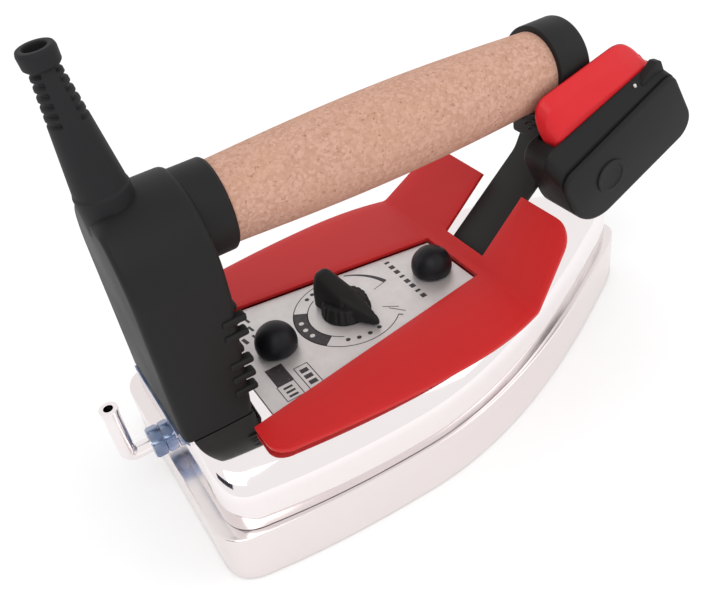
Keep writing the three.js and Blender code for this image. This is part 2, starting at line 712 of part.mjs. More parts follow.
// ---------------------------------------------------------------- steam inlet
function steamElbow() {
  const solid = join(
    alongX(pipeRadius, pipeElbowX, elbowEndX, 0, pipeZ, pipeSides),
    upright(pipeRadius, pipeZ, pipeTopZ - 4, pipeElbowX, 0, pipeSides),
    new THREE.SphereGeometry(pipeRadius, pipeSides, 8).translate(pipeElbowX, 0, pipeZ),
    upright(pipeRadius - 0.2, pipeTopZ - 5, pipeTopZ, pipeElbowX, 0, pipeSides, pipeRadius + 0.6),
  );
  return cut(solid, alongX(pipeBore, pipeElbowX, elbowEndX + 4, 0, pipeZ),
    upright(pipeBore, pipeZ, pipeTopZ + 2, pipeElbowX, 0));
}

function feedPipe() {
  const solid = join(alongX(pipeRadius, elbowEndX + gap, feedX, 0, pipeZ, pipeSides),
    upright(pipeRadius, lidZ, pipeZ, feedX, 0, pipeSides),
    new THREE.SphereGeometry(pipeRadius, pipeSides, 8).translate(feedX, 0, pipeZ));
  return cut(solid, alongX(pipeBore, elbowEndX - 6, feedX, 0, pipeZ),
    upright(pipeBore, lidZ - 2, pipeZ, feedX, 0));
}

const pipeNut = (x0, x1) => hexNut(11, x0, x1, pipeRadius + gap).rotateZ(Math.PI / 2)
  .rotateY(Math.PI / 2).translate(0, 0, pipeZ);

// ---------------------------------------------------------------- thumb switch
// Switch pieces are drawn in u (along the box), v (up) and y, then pitched and placed.
const place = (geometry) => geometry.rotateY(-THREE.MathUtils.degToRad(switchPitch))
  .translate(switchX, 0, switchZ);

function toWorld(u, v) {
  const a = THREE.MathUtils.degToRad(switchPitch);
  return [switchX + u * Math.cos(a) - v * Math.sin(a), switchZ + u * Math.sin(a) + v * Math.cos(a)];
}

const switchScrewUV = [[21, -7.5], [25.5, -1.2]];
const switchScrewSpots = switchScrewUV.map(([u, v]) => toWorld(u, v));
const screwHeadY = [switchInnerY - switchWall + 0.1, switchInnerY - 0.9];

// Side outline of the box; `top` is the height of its roof and `inset` shrinks it.
function switchOutline(top, inset = 0) {
  const left = -4 + inset;
  const right = switchLength - inset;
  const low = -switchHeight + inset;
  const high = top - inset;
  const shape = new THREE.Shape();
  shape.moveTo(left + 11, low);
  shape.lineTo(right - 9, low);
  shape.quadraticCurveTo(right - 0.5, low, right, low + 9);
  shape.lineTo(right - 2.5, high - 6);
  shape.quadraticCurveTo(right - 3, high, right - 9, high);
  shape.lineTo(left + 7, high);
  shape.quadraticCurveTo(left + 2, high - 1, left, high - 8);
  shape.lineTo(left, low + 13);
  shape.quadraticCurveTo(left, low, left + 11, low);
  return shape;
}

function switchBox() {
  const coverY = switchOuterY + switchWall;
  const slope = sidePlate(polygon([[-20, 0], [90, 0], [90, 20], [-20, 20]]), -20, 0)
    .rotateX(Math.atan2(switchRise, switchRoofY - switchOuterY))
    .translate(0, switchRoofY, switchRise);
  const rib = box(switchLength - 12.5, switchLength - 4, -30.8, -28.4, -2, switchRise - 1);
  const body = cut(
    sidePlate(switchOutline(switchRise), coverY + gap, switchInnerY),
    slope,
    sidePlate(switchOutline(switchRise, switchWall), switchOuterY - 2, switchInnerY - switchWall),
  );
  return place(cut(
    join(body, common(rib, sidePlate(switchOutline(switchRise, switchWall - 0.3), -40, 0))),
    slope,
    box(3.2, buttonFront + 0.8, buttonY[0] - 0.5, buttonY[1] + 0.5, 0, 20),
    alongY(1.5 + gap, pinEnd - gap, 0, ...buttonPivot, 16),
    ...switchScrewUV.flatMap(([u, v]) => [alongY(1.6 + gap, -20, 0, u, v, 12),
      alongY(2.6 + gap, -20, screwHeadY[1] + gap, u, v, 16)]),
  ));
}

function switchCover() {
  const plateY = [switchOuterY, switchOuterY + switchWall];
  return place(join(sidePlate(switchOutline(0), ...plateY, 0.6),
    alongY(6, switchOuterY - 0.7, switchOuterY + 1, 15.5, -15.9, 28)));
}

function steamButton() {
  const shape = new THREE.Shape();
  shape.moveTo(4.4, 1);
  shape.lineTo(buttonFront - 0.4, 1);
  shape.lineTo(buttonFront, 6.5);
  shape.quadraticCurveTo(buttonFront - 0.4, 11, buttonFront - 5.9, 13);
  shape.lineTo(buttonFront - 9.4, 14.6);
  shape.lineTo(16, 20.6);
  shape.quadraticCurveTo(10, 21.4, 7, 18.5);
  shape.lineTo(4.6, 13);
  const body = sidePlate(shape, ...buttonY, 1.6, 2);
  const flank = sidePlate(polygon([[-10, 0], [80, 0], [80, 30], [-10, 30]]), -20, 0)
    .rotateX(0.9).rotateY(0.2).translate(0, buttonY[0] + 4.4, 20.6 - 1.2);
  return place(cut(body, flank, alongY(1.5 + gap, -40, 0, ...buttonPivot, 16)));
}

function microswitch() {
  return place(cut(box(14, 37, -27.2, -20.6, -15, -4.2),
    upright(1.6 + gap, -11, 0, plungerU, -23.9, 16)));
}

const microswitchPlunger = () => place(upright(1.6, -8, 1 - gap, plungerU, -23.9, 16));
const buttonPin = () => place(alongY(1.5, pinEnd, switchInnerY - 0.4, ...buttonPivot, 16));

const switchScrews = switchScrewSpots.map(([x, z], i) => named(`switch_screw_${i + 1}`, join(
  alongY(1.6, screwHeadY[0], -7.6, x, z, 12),
  alongY(2.6, ...screwHeadY, x, z, 16)), zincSteel));

// ---------------------------------------------------------------- assembly
const iron = new THREE.Group();
iron.add(
  named('soleplate', soleplate(), polishedAluminium),
  named('chamber_gasket', chamberGasket(), sealRubber),
  named('chamber_lid', chamberLid(), castAluminium),
  named('heating_element', heatingElement(), zincSteel),
  ...lidScrews,
  named('chrome_cover', chromeCover(), chrome),
  named('label_panel', labelPanel(), brushedSteel),
  named('heat_shield', heatShield(), redPaint),
  ...shieldSpacers,
  ...studs,
  named('thermostat_body', thermostatBody(), ceramic),
  named('thermostat_shaft', upright(shaftRadius, thermostatZ + 3.5, shaftTop, dialX, dialY), brushedSteel),
  named('thermostat_knob', thermostatKnob(), blackPlastic),
  named('thermal_fuse', join(upright(6, thermostatZ, thermostatZ + 6, 62, 22, 20),
    box(51, 73, 18.5, 25.5, thermostatZ, thermostatZ + 1.4)), ceramic),
  named('rear_housing', rearHousing(), blackPlastic),
  named('housing_front_cover', housingFrontCover(), blackPlastic),
  named('housing_bracket', housingBracket(), zincSteel),
  named('tie_rod', alongX(rodRadius, rodStart, rodEnd, 0, gripZ), zincSteel),
  named('tie_rod_nut', hexNut(13, rodNutX - 2.8, rodNutX + 3.7, rodRadius + gap).rotateY(Math.PI / 2)
    .translate(0, 0, gripZ), zincSteel),
  named('cork_grip', corkGrip(), cork),
  named('front_cap', frontCap(), blackPlastic),
  named('front_bracket', frontBracket(), blackPaint),
  named('cord_guard', cordGuard(), rubber),
  named('cord_clamp', cordClamp(), blackPlastic),
  named('terminal_block', terminalBlock(), ceramic),
  ...heaterLeads,
  named('steam_elbow', steamElbow(), chrome),
  named('steam_feed_pipe', feedPipe(), copper),
  named('elbow_lock_nut', pipeNut(-3.8, 0.8), zincSteel),
  named('elbow_wall_nut', pipeNut(1.1, coverHeelInset - gap), zincSteel),
  named('switch_box', switchBox(), blackPlastic),
  named('switch_cover', switchCover(), blackPlastic),
  named('steam_button', steamButton(), redPlastic),
  named('button_pin', buttonPin(), zincSteel),
  named('microswitch', microswitch(), ceramic),
  named('microswitch_plunger', microswitchPlunger(), redPlastic),
  ...switchScrews,
);
iron.position.x = -soleLength / 2;

const group = new THREE.Group();
group.add(iron);
export default group;
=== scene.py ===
import json
import math

import bmesh
import bpy
import numpy as np
from mathutils import Matrix, Vector


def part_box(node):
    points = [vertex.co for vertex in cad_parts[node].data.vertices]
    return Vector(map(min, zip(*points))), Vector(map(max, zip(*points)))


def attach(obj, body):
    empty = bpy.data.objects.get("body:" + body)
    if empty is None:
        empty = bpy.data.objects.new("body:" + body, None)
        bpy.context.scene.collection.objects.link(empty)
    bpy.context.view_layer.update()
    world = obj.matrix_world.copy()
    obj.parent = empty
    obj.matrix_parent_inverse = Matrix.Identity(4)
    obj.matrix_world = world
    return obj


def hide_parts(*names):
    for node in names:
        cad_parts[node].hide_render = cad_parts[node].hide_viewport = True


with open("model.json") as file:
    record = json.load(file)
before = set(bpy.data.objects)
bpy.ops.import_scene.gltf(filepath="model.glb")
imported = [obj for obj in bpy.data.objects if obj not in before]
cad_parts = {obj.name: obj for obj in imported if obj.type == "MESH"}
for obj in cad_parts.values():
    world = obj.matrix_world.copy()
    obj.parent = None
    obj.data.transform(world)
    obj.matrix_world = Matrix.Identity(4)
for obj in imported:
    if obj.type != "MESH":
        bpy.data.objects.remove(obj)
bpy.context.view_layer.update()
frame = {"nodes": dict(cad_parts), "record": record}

# Industrial steam iron. Sizes below are in millimetres, counted from the heel in X, from the
# centreline in Y and from the ironing face in Z, and meshPiece turns them into metres in the frame.
mm = 0.001
soleLow, soleHigh = (np.array(corner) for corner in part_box("soleplate"))
heelPoint = np.array([soleLow[0], 0.0, soleLow[2]])
panelTop = (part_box("label_panel")[1][2] - heelPoint[2]) / mm
shieldTop = (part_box("shield_spacer_1")[1][2] - heelPoint[2]) / mm + 1.8
scene = bpy.context.scene
weldDistance = 1e-6   # metres; points nearer than this become one
axisPoint = 0.001     # stands for radius 0 in turned profiles, so that no ring collapses


def linear(red, green, blue):
    # screen colour 0-255 to linear light
    c = np.array([red, green, blue]) / 255
    c = np.where(c <= 0.04045, c / 12.92, ((c + 0.055) / 1.055) ** 2.4)
    return (*c.tolist(), 1.0)


def gridFaces(rows, columns):
    # quads between neighbouring rings: row r, column c meets r+1 and c+1, the columns closing up
    r = np.arange(rows - 1)[:, None] * columns
    c = np.arange(columns)[None, :]
    n = (c + 1) % columns
    quads = np.stack(np.broadcast_arrays(r + c, r + n, r + columns + n, r + columns + c), -1)
    return quads.reshape(-1, 4).tolist()


def loft(rings, capStart=True, capEnd=True):
    # rings is an array (rows, columns, 3) of closed outlines, skinned in order and capped flat
    rows, columns = rings.shape[:2]
    faces = gridFaces(rows, columns)
    if capStart:
        faces.append(list(range(columns)))
    if capEnd:
        faces.append(list(range((rows - 1) * columns, rows * columns)))
    return rings.reshape(-1, 3), faces


def tubeRing(rings):
    # the same, closed along its path as well: the last ring meets the first
    return loft(np.concatenate([rings, rings[:1]]), False, False)


def meshPiece(name, shells, material, body="iron", sharp=38, replaces=()):
    points = []
    faces = []
    for shellPoints, shellFaces in shells:
        start = sum(len(p) for p in points)
        points.append(np.asarray(shellPoints, float))
        faces += [[i + start for i in face] for face in shellFaces]
    mesh = bpy.data.meshes.new(name)
    mesh.from_pydata((np.concatenate(points) * mm + heelPoint).tolist(), [], faces)
    work = bmesh.new()
    work.from_mesh(mesh)
    bmesh.ops.remove_doubles(work, verts=work.verts, dist=weldDistance)
    bmesh.ops.recalc_face_normals(work, faces=work.faces)
    work.to_mesh(mesh)
    work.free()
    mesh.shade_smooth()
    mesh.polygons.foreach_set("use_smooth", [len(p.vertices) < 5 for p in mesh.polygons])
    mesh.set_sharp_from_angle(angle=math.radians(sharp))
    mesh.materials.append(material)
    piece = bpy.data.objects.new(name, mesh)
    bpy.context.collection.objects.link(piece)
    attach(piece, body)
    if replaces:
        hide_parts(*replaces)
    return piece


def carve(piece, shells):
    # takes the given closed shells away from the piece, for good
    cutter = meshPiece(piece.name + "Cutter", shells, piece.data.materials[0])
    cutter.data.polygons.foreach_set("use_smooth", [False] * len(cutter.data.polygons))
    step = piece.modifiers.new("carve", "BOOLEAN")
    step.object = cutter
    step.solver = "EXACT"
    step.use_self = True
    evaluated = piece.evaluated_get(bpy.context.evaluated_depsgraph_get())
    carved = bpy.data.meshes.new_from_object(evaluated)
    piece.modifiers.clear()
    piece.data = carved
    bpy.data.objects.remove(cutter)


def roundCorners(points, radii, steps=6, closed=True):
    # each corner becomes an arc of its radius: tangent points lie r*tan(turn/2) from the corner
    points = np.asarray(points, float)
    count = len(points)
    radii = np.broadcast_to(np.asarray(radii, float), (count,))
    made = []
    for i in range(count):
        if not closed and i in (0, count - 1) or radii[i] <= 0:
            made.append(points[i:i + 1])
            continue
        here = points[i]
        back = points[i - 1] - here
        on = points[(i + 1) % count] - here
        back = back / np.linalg.norm(back)
        on = on / np.linalg.norm(on)
        turn = math.pi - math.acos(np.clip(back @ on, -1, 1))
        reach = radii[i] * math.tan(turn / 2)
        middle = back + on
        centre = here + middle / np.linalg.norm(middle) * radii[i] / math.cos(turn / 2)
        first = here + back * reach - centre
        last = here + on * reach - centre
        t = np.linspace(0, 1, steps + 1)[:, None]
        arc = (np.sin((1 - t) * turn) * first + np.sin(t * turn) * last) / math.sin(turn)
        made.append(centre + arc)
    return np.concatenate(made)


def inward(outline, depth):
    # moves a closed 2D outline inwards by depth along the mitre of its two neighbours
    after = np.roll(outline, -1, 0) - outline
    after /= np.linalg.norm(after, axis=1, keepdims=True)
    before = np.roll(after, 1, 0)
    normal = np.stack([-(after + before)[:, 1], (after + before)[:, 0]], 1)
    size = np.linalg.norm(normal, axis=1, keepdims=True)
    area = np.sum(outline[:, 0] * np.roll(outline[:, 1], -1) - outline[:, 1] * np.roll(outline[:, 0], -1))
    return outline + normal / size * depth * 2 / size * np.sign(area)


def slab(outline, low, high, edge=0.5, steps=4, lowEdge=None, plane="xy"):
    # an outline given thickness: quarter-circle edges draw the outline in by edge*(1-cos) at
    # each face while the height moves by edge*(1-sin)
    lowEdge = edge if lowEdge is None else lowEdge
    turn = np.linspace(0, math.pi / 2, steps + 1)
    rise = np.concatenate([low + lowEdge * (1 - np.sin(turn[::-1])), high - edge * (1 - np.sin(turn))])
    draw = np.concatenate([lowEdge * (1 - np.cos(turn[::-1])), edge * (1 - np.cos(turn))])
    rings = []
    for height, depth in zip(rise, draw):
        flat = inward(outline, depth)
        level = np.full((len(flat), 1), height)
        if plane == "xy":
            rings.append(np.hstack([flat, level]))
        else:
            rings.append(np.hstack([flat[:, :1], level, flat[:, 1:]]))
    return loft(np.array(rings))


def boxShell(x, y, z, edge=0.4, steps=3):
    corners = [(x[0], y[0]), (x[1], y[0]), (x[1], y[1]), (x[0], y[1])]
    return slab(roundCorners(corners, edge, steps), z[0], z[1], edge, steps)


def around(count):
    return np.linspace(0, 2 * math.pi, count, endpoint=False)


def turned(profile, centre=(0, 0, 0), axis="z", sides=64, ripple=None):
    # profile rows (radius, height) turned about an axis; ripple(angle, height) adds to the radius
    profile = np.asarray(profile, float)
    angle = around(sides)[None, :]
    radius = np.repeat(profile[:, :1], sides, 1)
    height = np.repeat(profile[:, 1:], sides, 1)
    if ripple:
        radius = radius + ripple(angle, height) * (radius > 0.01)
    a = radius * np.cos(angle)
    b = radius * np.sin(angle)
    order = {"z": (a, b, height), "x": (height, a, b), "y": (b, height, a)}[axis]
    return loft(np.stack(order, -1) + np.array(centre, float))


def carried(path, section):
    # a flat section (n, 2) carried along a path (m, 3), square to it, without twist in a plane
    path = np.asarray(path, float)
    along = np.gradient(path, axis=0)
    along /= np.linalg.norm(along, axis=1, keepdims=True)
    across = np.cross(along, np.array([0.0, 1.0, 0.0]))
    across /= np.linalg.norm(across, axis=1, keepdims=True)
    side = np.cross(along, across)
    return path[:, None] + section[None, :, :1] * across[:, None] + section[None, :, 1:] * side[:, None]


def circle(radius, sides=32):
    angle = around(sides)
    return np.stack([radius * np.cos(angle), radius * np.sin(angle)], 1)


def curve(p0, p1, p2, p3, count):
    # cubic Bezier: (1-t)^3 p0 + 3(1-t)^2 t p1 + 3(1-t) t^2 p2 + t^3 p3
    t = np.linspace(0, 1, count, endpoint=False)[:, None]
    p0, p1, p2, p3 = (np.array(p, float) for p in (p0, p1, p2, p3))
    return (1 - t) ** 3 * p0 + 3 * (1 - t) ** 2 * t * p1 + 3 * (1 - t) * t ** 2 * p2 + t ** 3 * p3


def node(tree, kind, inputs=None, **settings):
    made = tree.nodes.new("ShaderNode" + kind)
    for key, value in settings.items():
        setattr(made, key, value)
    for key, value in (inputs or {}).items():
        made.inputs[key].default_value = value
    return made


def newMaterial(name, color, roughness, metallic=0.0, **more):
    material = bpy.data.materials.new(name)
    material.use_nodes = True
    tree = material.node_tree
    shader = tree.nodes["Principled BSDF"]
    shader.inputs["Base Color"].default_value = color
    shader.inputs["Roughness"].default_value = roughness
    shader.inputs["Metallic"].default_value = metallic
    for key, value in more.items():
        shader.inputs[key.replace("_", " ")].default_value = value
    return material, tree, shader


def noise(tree, scale, detail=3.0, rough=0.5, stretch=(1, 1, 1)):
    # noise on object coordinates, stretched by a mapping
    where = node(tree, "TexCoord")
    mapping = node(tree, "Mapping", {"Scale": stretch})
    made = node(tree, "TexNoise", {"Scale": scale, "Detail": detail, "Roughness": rough})
    tree.links.new(where.outputs["Object"], mapping.inputs["Vector"])
    tree.links.new(mapping.outputs["Vector"], made.inputs["Vector"])
    return made.outputs["Fac"]


def mapped(tree, socket, low, high, fromLow=0.3, fromHigh=0.7):
    made = node(tree, "MapRange", {"From Min": fromLow, "From Max": fromHigh, "To Min": low, "To Max": high})
    tree.links.new(socket, made.inputs["Value"])
    return made.outputs["Result"]


def mixed(tree, factor, first, second):
    # first and second are colours or sockets
    made = node(tree, "Mix", data_type="RGBA")
    tree.links.new(factor, made.inputs["Factor"])
    for key, value in (("A", first), ("B", second)):
        socket = [s for s in made.inputs if s.name == key and s.type == "RGBA"][0]
        if isinstance(value, bpy.types.NodeSocket):
            tree.links.new(value, socket)
        else:
            socket.default_value = value
    return [s for s in made.outputs if s.type == "RGBA"][0]


def bumped(tree, shader, socket, distance, strength=1.0, before=None):
    made = node(tree, "Bump", {"Strength": strength, "Distance": distance})
    tree.links.new(socket, made.inputs["Height"])
    if before:
        tree.links.new(before, made.inputs["Normal"])
    tree.links.new(made.outputs["Normal"], shader.inputs["Normal"])
    return made.outputs["Normal"]


def dye(tree, shader, color):
    tree.links.new(color, shader.inputs["Base Color"])


def roughen(tree, shader, socket, low, high):
    tree.links.new(mapped(tree, socket, low, high), shader.inputs["Roughness"])


def makeAluminium():
    # polished casting: fine lengthwise polish lines, faint hand-worn patches
    material, tree, shader = newMaterial("polishedAluminium", linear(232, 224, 223), 0.2, 1.0)
    lines = noise(tree, 60, 4, 0.6, (1, 8, 60))
    patches = noise(tree, 25, 3)
    roughen(tree, shader, patches, 0.16, 0.27)
    bumped(tree, shader, lines, 0.00004, 0.35)
    return material


def makeChrome():
    # plated pressing: mirror finish over very slight waves in the sheet
    material, tree, shader = newMaterial("chromePlate", linear(240, 233, 233), 0.07, 1.0)
    waves = noise(tree, 18, 2)
    smears = noise(tree, 70, 3)
    roughen(tree, shader, smears, 0.04, 0.12)
    bumped(tree, shader, waves, 0.0006, 0.25)
    return material


def makeRedPaint():
    # baked enamel with a light orange peel
    material, tree, shader = newMaterial("redPaint", linear(193, 32, 33), 0.42)
    shader.inputs["Specular IOR Level"].default_value = 0.25
    tone = noise(tree, 14, 3)
    color = mixed(tree, tone, linear(186, 26, 30), linear(200, 38, 36))
    dye(tree, shader, color)
    peel = noise(tree, 900, 2)
    bumped(tree, shader, peel, 0.00003, 0.5)
    return material


def makeLabel():
    # brushed sheet under clear lacquer, lines across the iron, faint mottle
    material, tree, shader = newMaterial("brushedLabel", linear(212, 206, 205), 0.42, 0.55)
    lines = noise(tree, 90, 5, 0.7, (30, 1, 1))
    mottle = noise(tree, 160, 4)
    tone = mapped(tree, mottle, 0, 1)
    color = mixed(tree, tone, linear(206, 201, 200), linear(216, 211, 210))
    dye(tree, shader, color)
    roughen(tree, shader, lines, 0.34, 0.5)
    bumped(tree, shader, lines, 0.00003, 0.3)
    return material


def makeInk():
    material, tree, shader = newMaterial("printInk", linear(52, 44, 48), 0.5)
    wear = noise(tree, 700, 4)
    worn = mapped(tree, wear, 0, 1, 0.55, 0.8)
    color = mixed(tree, worn, linear(46, 40, 44), linear(84, 76, 78))
    dye(tree, shader, color)
    return material


def makePlastic(name, tone, roughness, grain, depth):
    # moulded grain: a fine even noise, with faintly paler rubbed patches
    material, tree, shader = newMaterial(name, linear(*tone), roughness)
    shader.inputs["Specular IOR Level"].default_value = 0.22
    rub = noise(tree, 35, 4, 0.6)
    paler = tuple(v + 4 for v in tone)
    color = mixed(tree, mapped(tree, rub, 0, 1, 0.45, 0.75), linear(*tone), linear(*paler))
    dye(tree, shader, color)
    roughen(tree, shader, rub, roughness - 0.05, roughness + 0.06)
    skin = noise(tree, grain, 2)
    bumped(tree, shader, skin, depth, 0.6)
    return material


def makeCork():
    # pressed granules: cells of their own tone, dark grains between, pores sunk in
    material, tree, shader = newMaterial("pressedCork", linear(206, 160, 132), 0.86)
    shader.inputs["Specular IOR Level"].default_value = 0.25
    where = node(tree, "TexCoord")
    bend = noise(tree, 260, 3)
    shifted = node(tree, "VectorMath", operation="MULTIPLY_ADD")
    shifted.inputs[1].default_value = (0.0016, 0.0016, 0.0016)
    tree.links.new(bend.node.outputs["Color"], shifted.inputs[0])
    tree.links.new(where.outputs["Object"], shifted.inputs[2])
    cells = node(tree, "TexVoronoi", {"Scale": 860.0, "Randomness": 1.0})
    tree.links.new(shifted.outputs["Vector"], cells.inputs["Vector"])
    tone = node(tree, "SeparateColor")
    tree.links.new(cells.outputs["Color"], tone.inputs["Color"])
    cellTone = mapped(tree, tone.outputs["Red"], 0, 1, 0.1, 0.9)
    color = mixed(tree, cellTone, linear(182, 140, 120), linear(200, 160, 142))
    broad = noise(tree, 38, 3)
    color = mixed(tree, mapped(tree, broad, 0, 0.5), color, linear(196, 152, 130))
    specks = noise(tree, 800, 3, 0.6)
    speckFactor = mapped(tree, specks, 0, 0.75, 0.6, 0.7)
    color = mixed(tree, speckFactor, color, linear(142, 98, 80))
    rim = mapped(tree, cells.outputs["Distance"], 0, 0.35, 0.55, 0.9)
    color = mixed(tree, rim, color, linear(168, 126, 106))
    dye(tree, shader, color)
    first = bumped(tree, shader, cells.outputs["Distance"], 0.00018, 0.5)
    bumped(tree, shader, specks, 0.00012, 0.5, first)
    return material


def makeZinc():
    # blue passivated zinc: bluish with yellow-pink clouds
    material, tree, shader = newMaterial("blueZinc", linear(110, 136, 172), 0.28, 1.0)
    clouds = noise(tree, 120, 2)
    cloudy = mapped(tree, clouds, 0, 1)
    color = mixed(tree, cloudy, linear(88, 116, 158), linear(150, 156, 172))
    dye(tree, shader, color)
    bumped(tree, shader, noise(tree, 900, 2), 0.00002, 0.4)
    return material


def makePlain(name, tone, roughness, metallic, scale, depth):
    # inner pieces: a cloudy tone and a fine grain of their own
    material, tree, shader = newMaterial(name, linear(*tone), roughness, metallic)
    clouds = noise(tree, scale / 8, 3)
    darker = tuple(v * 0.86 for v in tone)
    color = mixed(tree, mapped(tree, clouds, 0, 1), linear(*darker), linear(*tone))
    dye(tree, shader, color)
    bumped(tree, shader, noise(tree, scale, 3), depth, 0.5)
    return material


polishedAluminium = makeAluminium()
chromePlate = makeChrome()
redPaint = makeRedPaint()
brushedLabel = makeLabel()
printInk = makeInk()
pressedCork = makeCork()
blueZinc = makeZinc()
mouldedBlack = makePlastic("mouldedBlack", (24, 23, 23), 0.55, 1400, 0.00004)
glossBlack = makePlastic("glossBlack", (17, 17, 21), 0.42, 500, 0.00001)
paintedBlack = makePlastic("paintedBlack", (34, 34, 33), 0.5, 900, 0.00005)
blackRubber = makePlastic("blackRubber", (27, 27, 29), 0.6, 1100, 0.00005)
redPlastic = makePlastic("redPlastic", (202, 34, 40), 0.34, 700, 0.00001)
whitePrint = makePlain("whitePrint", (226, 224, 220), 0.5, 0.0, 900, 0.00001)
castAluminium = makePlain("castAluminium", (180, 182, 184), 0.5, 1.0, 900, 0.00008)
unglazedCeramic = makePlain("unglazedCeramic", (232, 226, 214), 0.7, 0.0, 1200, 0.00004)
drawnCopper = makePlain("drawnCopper", (190, 120, 84), 0.35, 1.0, 700, 0.00002)
sealRubber = makePlain("sealRubber", (132, 56, 44), 0.8, 0.0, 900, 0.00004)
wovenSleeve = makePlain("wovenSleeve", (214, 208, 190), 0.85, 0.0, 1600, 0.00012)
print("materials made")

cadFinishes = {
    "polished_aluminium": polishedAluminium, "cast_aluminium": castAluminium, "chrome": chromePlate,
    "red_paint": redPaint, "brushed_label": brushedLabel, "zinc_steel": blueZinc,
    "copper_pipe": drawnCopper, "cork": pressedCork, "black_plastic": mouldedBlack,
    "black_paint": paintedBlack, "black_rubber": blackRubber, "red_plastic": redPlastic,
    "ceramic": unglazedCeramic, "seal_rubber": sealRubber, "lead_sleeve": wovenSleeve,
}
for part in frame["record"]["subparts"]:
    cadNode = frame["nodes"].get(part["node"])
    if cadNode:
        cadNode.data.materials.clear()
        cadNode.data.materials.append(cadFinishes[part["material_slot"]])


boatPlan = {
    "length": 225, "half": 59.7, "heelDrop": 5, "heelCorner": 13, "cornerBulge": 1.4, "heelPull": 22,
    "widestAt": 80, "sidePull": 20, "toeRun": 21, "toeHalf": 17.5, "leastToeHalf": 5,
}
sole = {
    "height": 23, "edge": 1.5, "topEdge": 0.9, "ventRadius": 1.6, "ventInset": 24, "ventStart": 60,
    "ventFlare": 0.6, "ventDepth": 6,
}
cover = {
    "inset": 1.4, "heel": 5.4, "toe": 6, "base": 23.3, "wallTop": 35, "top": 48.6, "run": 19,
    "heelRun": 2.5, "toeRun": 17, "tighten": 7, "steps": 24,
}


def boatOutline(side, heel, toe, detail=1.0, tighten=0.0):
    # half plan: straight heel, quadratic corner, two cubic curves to the widest point and the
    # toe, one round the tip, then the same mirrored in Y
    p = boatPlan
    half = p["half"] - side
    heelHalf = half - p["heelDrop"]
    tip = p["length"] - toe
    toeX = p["length"] - p["toeRun"] - toe * 0.6
    toeY = max(p["toeHalf"] - side * 0.55, p["leastToeHalf"])
    run = toeX - p["widestAt"]
    corner = p["heelCorner"] - tighten
    low = np.array([heel, heelHalf - corner - 1])
    bend = np.array([heel, heelHalf - p["cornerBulge"]])
    high = np.array([heel + corner, heelHalf])
    widest = (p["widestAt"], half)
    count = lambda n: max(3, round(n * detail))
    near = np.concatenate([
        curve((heel, 0), (heel, low[1] / 3), (heel, low[1] * 2 / 3), low, count(6)),
        curve(low, low + (bend - low) * 2 / 3, high + (bend - high) * 2 / 3, high, count(16)),
        curve(high, (heel + corner + p["heelPull"], heelHalf + p["heelDrop"] * 0.8),
              (p["widestAt"] - p["sidePull"], half), widest, count(24)),
        curve(widest, (widest[0] + run * 0.3, half), (toeX - run * 0.36, toeY + run * 0.2),
              (toeX, toeY), count(44)),
        curve((toeX, toeY), (toeX + p["toeRun"] * 0.45, toeY * 0.7), (tip, toeY * 0.4), (tip, 0), count(20)),
        [(tip, 0)],
    ])
    far = near[1:-1][::-1] * [1, -1]
    return np.concatenate([near, far])


def makeSole():
    body = slab(boatOutline(0, 0, 0), 0, sole["height"], sole["topEdge"], 4, sole["edge"])
    piece = meshPiece("soleBody", [body], polishedAluminium, replaces=("soleplate",))
    plan = boatOutline(sole["ventInset"], sole["ventInset"], sole["ventInset"], 0.12)
    spots = plan[plan[:, 0] > sole["ventStart"]]
    r, flare, deep = sole["ventRadius"], sole["ventFlare"], sole["ventDepth"]
    pit = [(0, -1), (r + flare, -1), (r + flare, 0), (r, flare), (r, deep), (0, deep)]
    carve(piece, [turned(pit, (x, y, 0), "z", 20) for x, y in spots])


def makeCover():
    # the plan leans in by run*(1-cos) over the shoulder while the height climbs by rise*sin
    c = cover
    angle = np.linspace(0, math.pi / 2, c["steps"])
    leans = np.concatenate([[0.012, 0], 1 - np.cos(angle)])
    climb = c["wallTop"] + (c["top"] - c["wallTop"]) * np.sin(angle)
    heights = np.concatenate([[c["base"], c["base"] + 0.3], climb])
    rings = []
    for lean, z in zip(leans, heights):
        flat = boatOutline(c["inset"] + lean * c["run"], c["heel"] + lean * c["heelRun"],
                           c["toe"] + lean * c["toeRun"], 1.0, lean * c["tighten"])
        rings.append(np.hstack([flat, np.full((len(flat), 1), z)]))
    meshPiece("chromeShell", [loft(np.array(rings))], chromePlate, replaces=("chrome_cover",))


makeSole()
makeCover()
print("sole and cover made")


shield = {
    "rear": 26.5, "rearHalf": 52.6, "widestAt": 98, "half": 57.6, "corner": 8, "bendX": 137,
    "bendHalf": 51.5, "edge": 0.4, "edgeTurn": 50, "reach": 32.76,
    "angle": 42.9, "topHalf": 43.5, "topCorner": 9, "thickness": 1.5, "bendRadius": 3,
    "axisY": -2.5, "windowEnd": 134.5, "windowRear": 32, "windowFront": 17, "panelRear": 35,
    "panelFront": 133.5, "slotStart": 142, "slotHalf": 12.3,
}


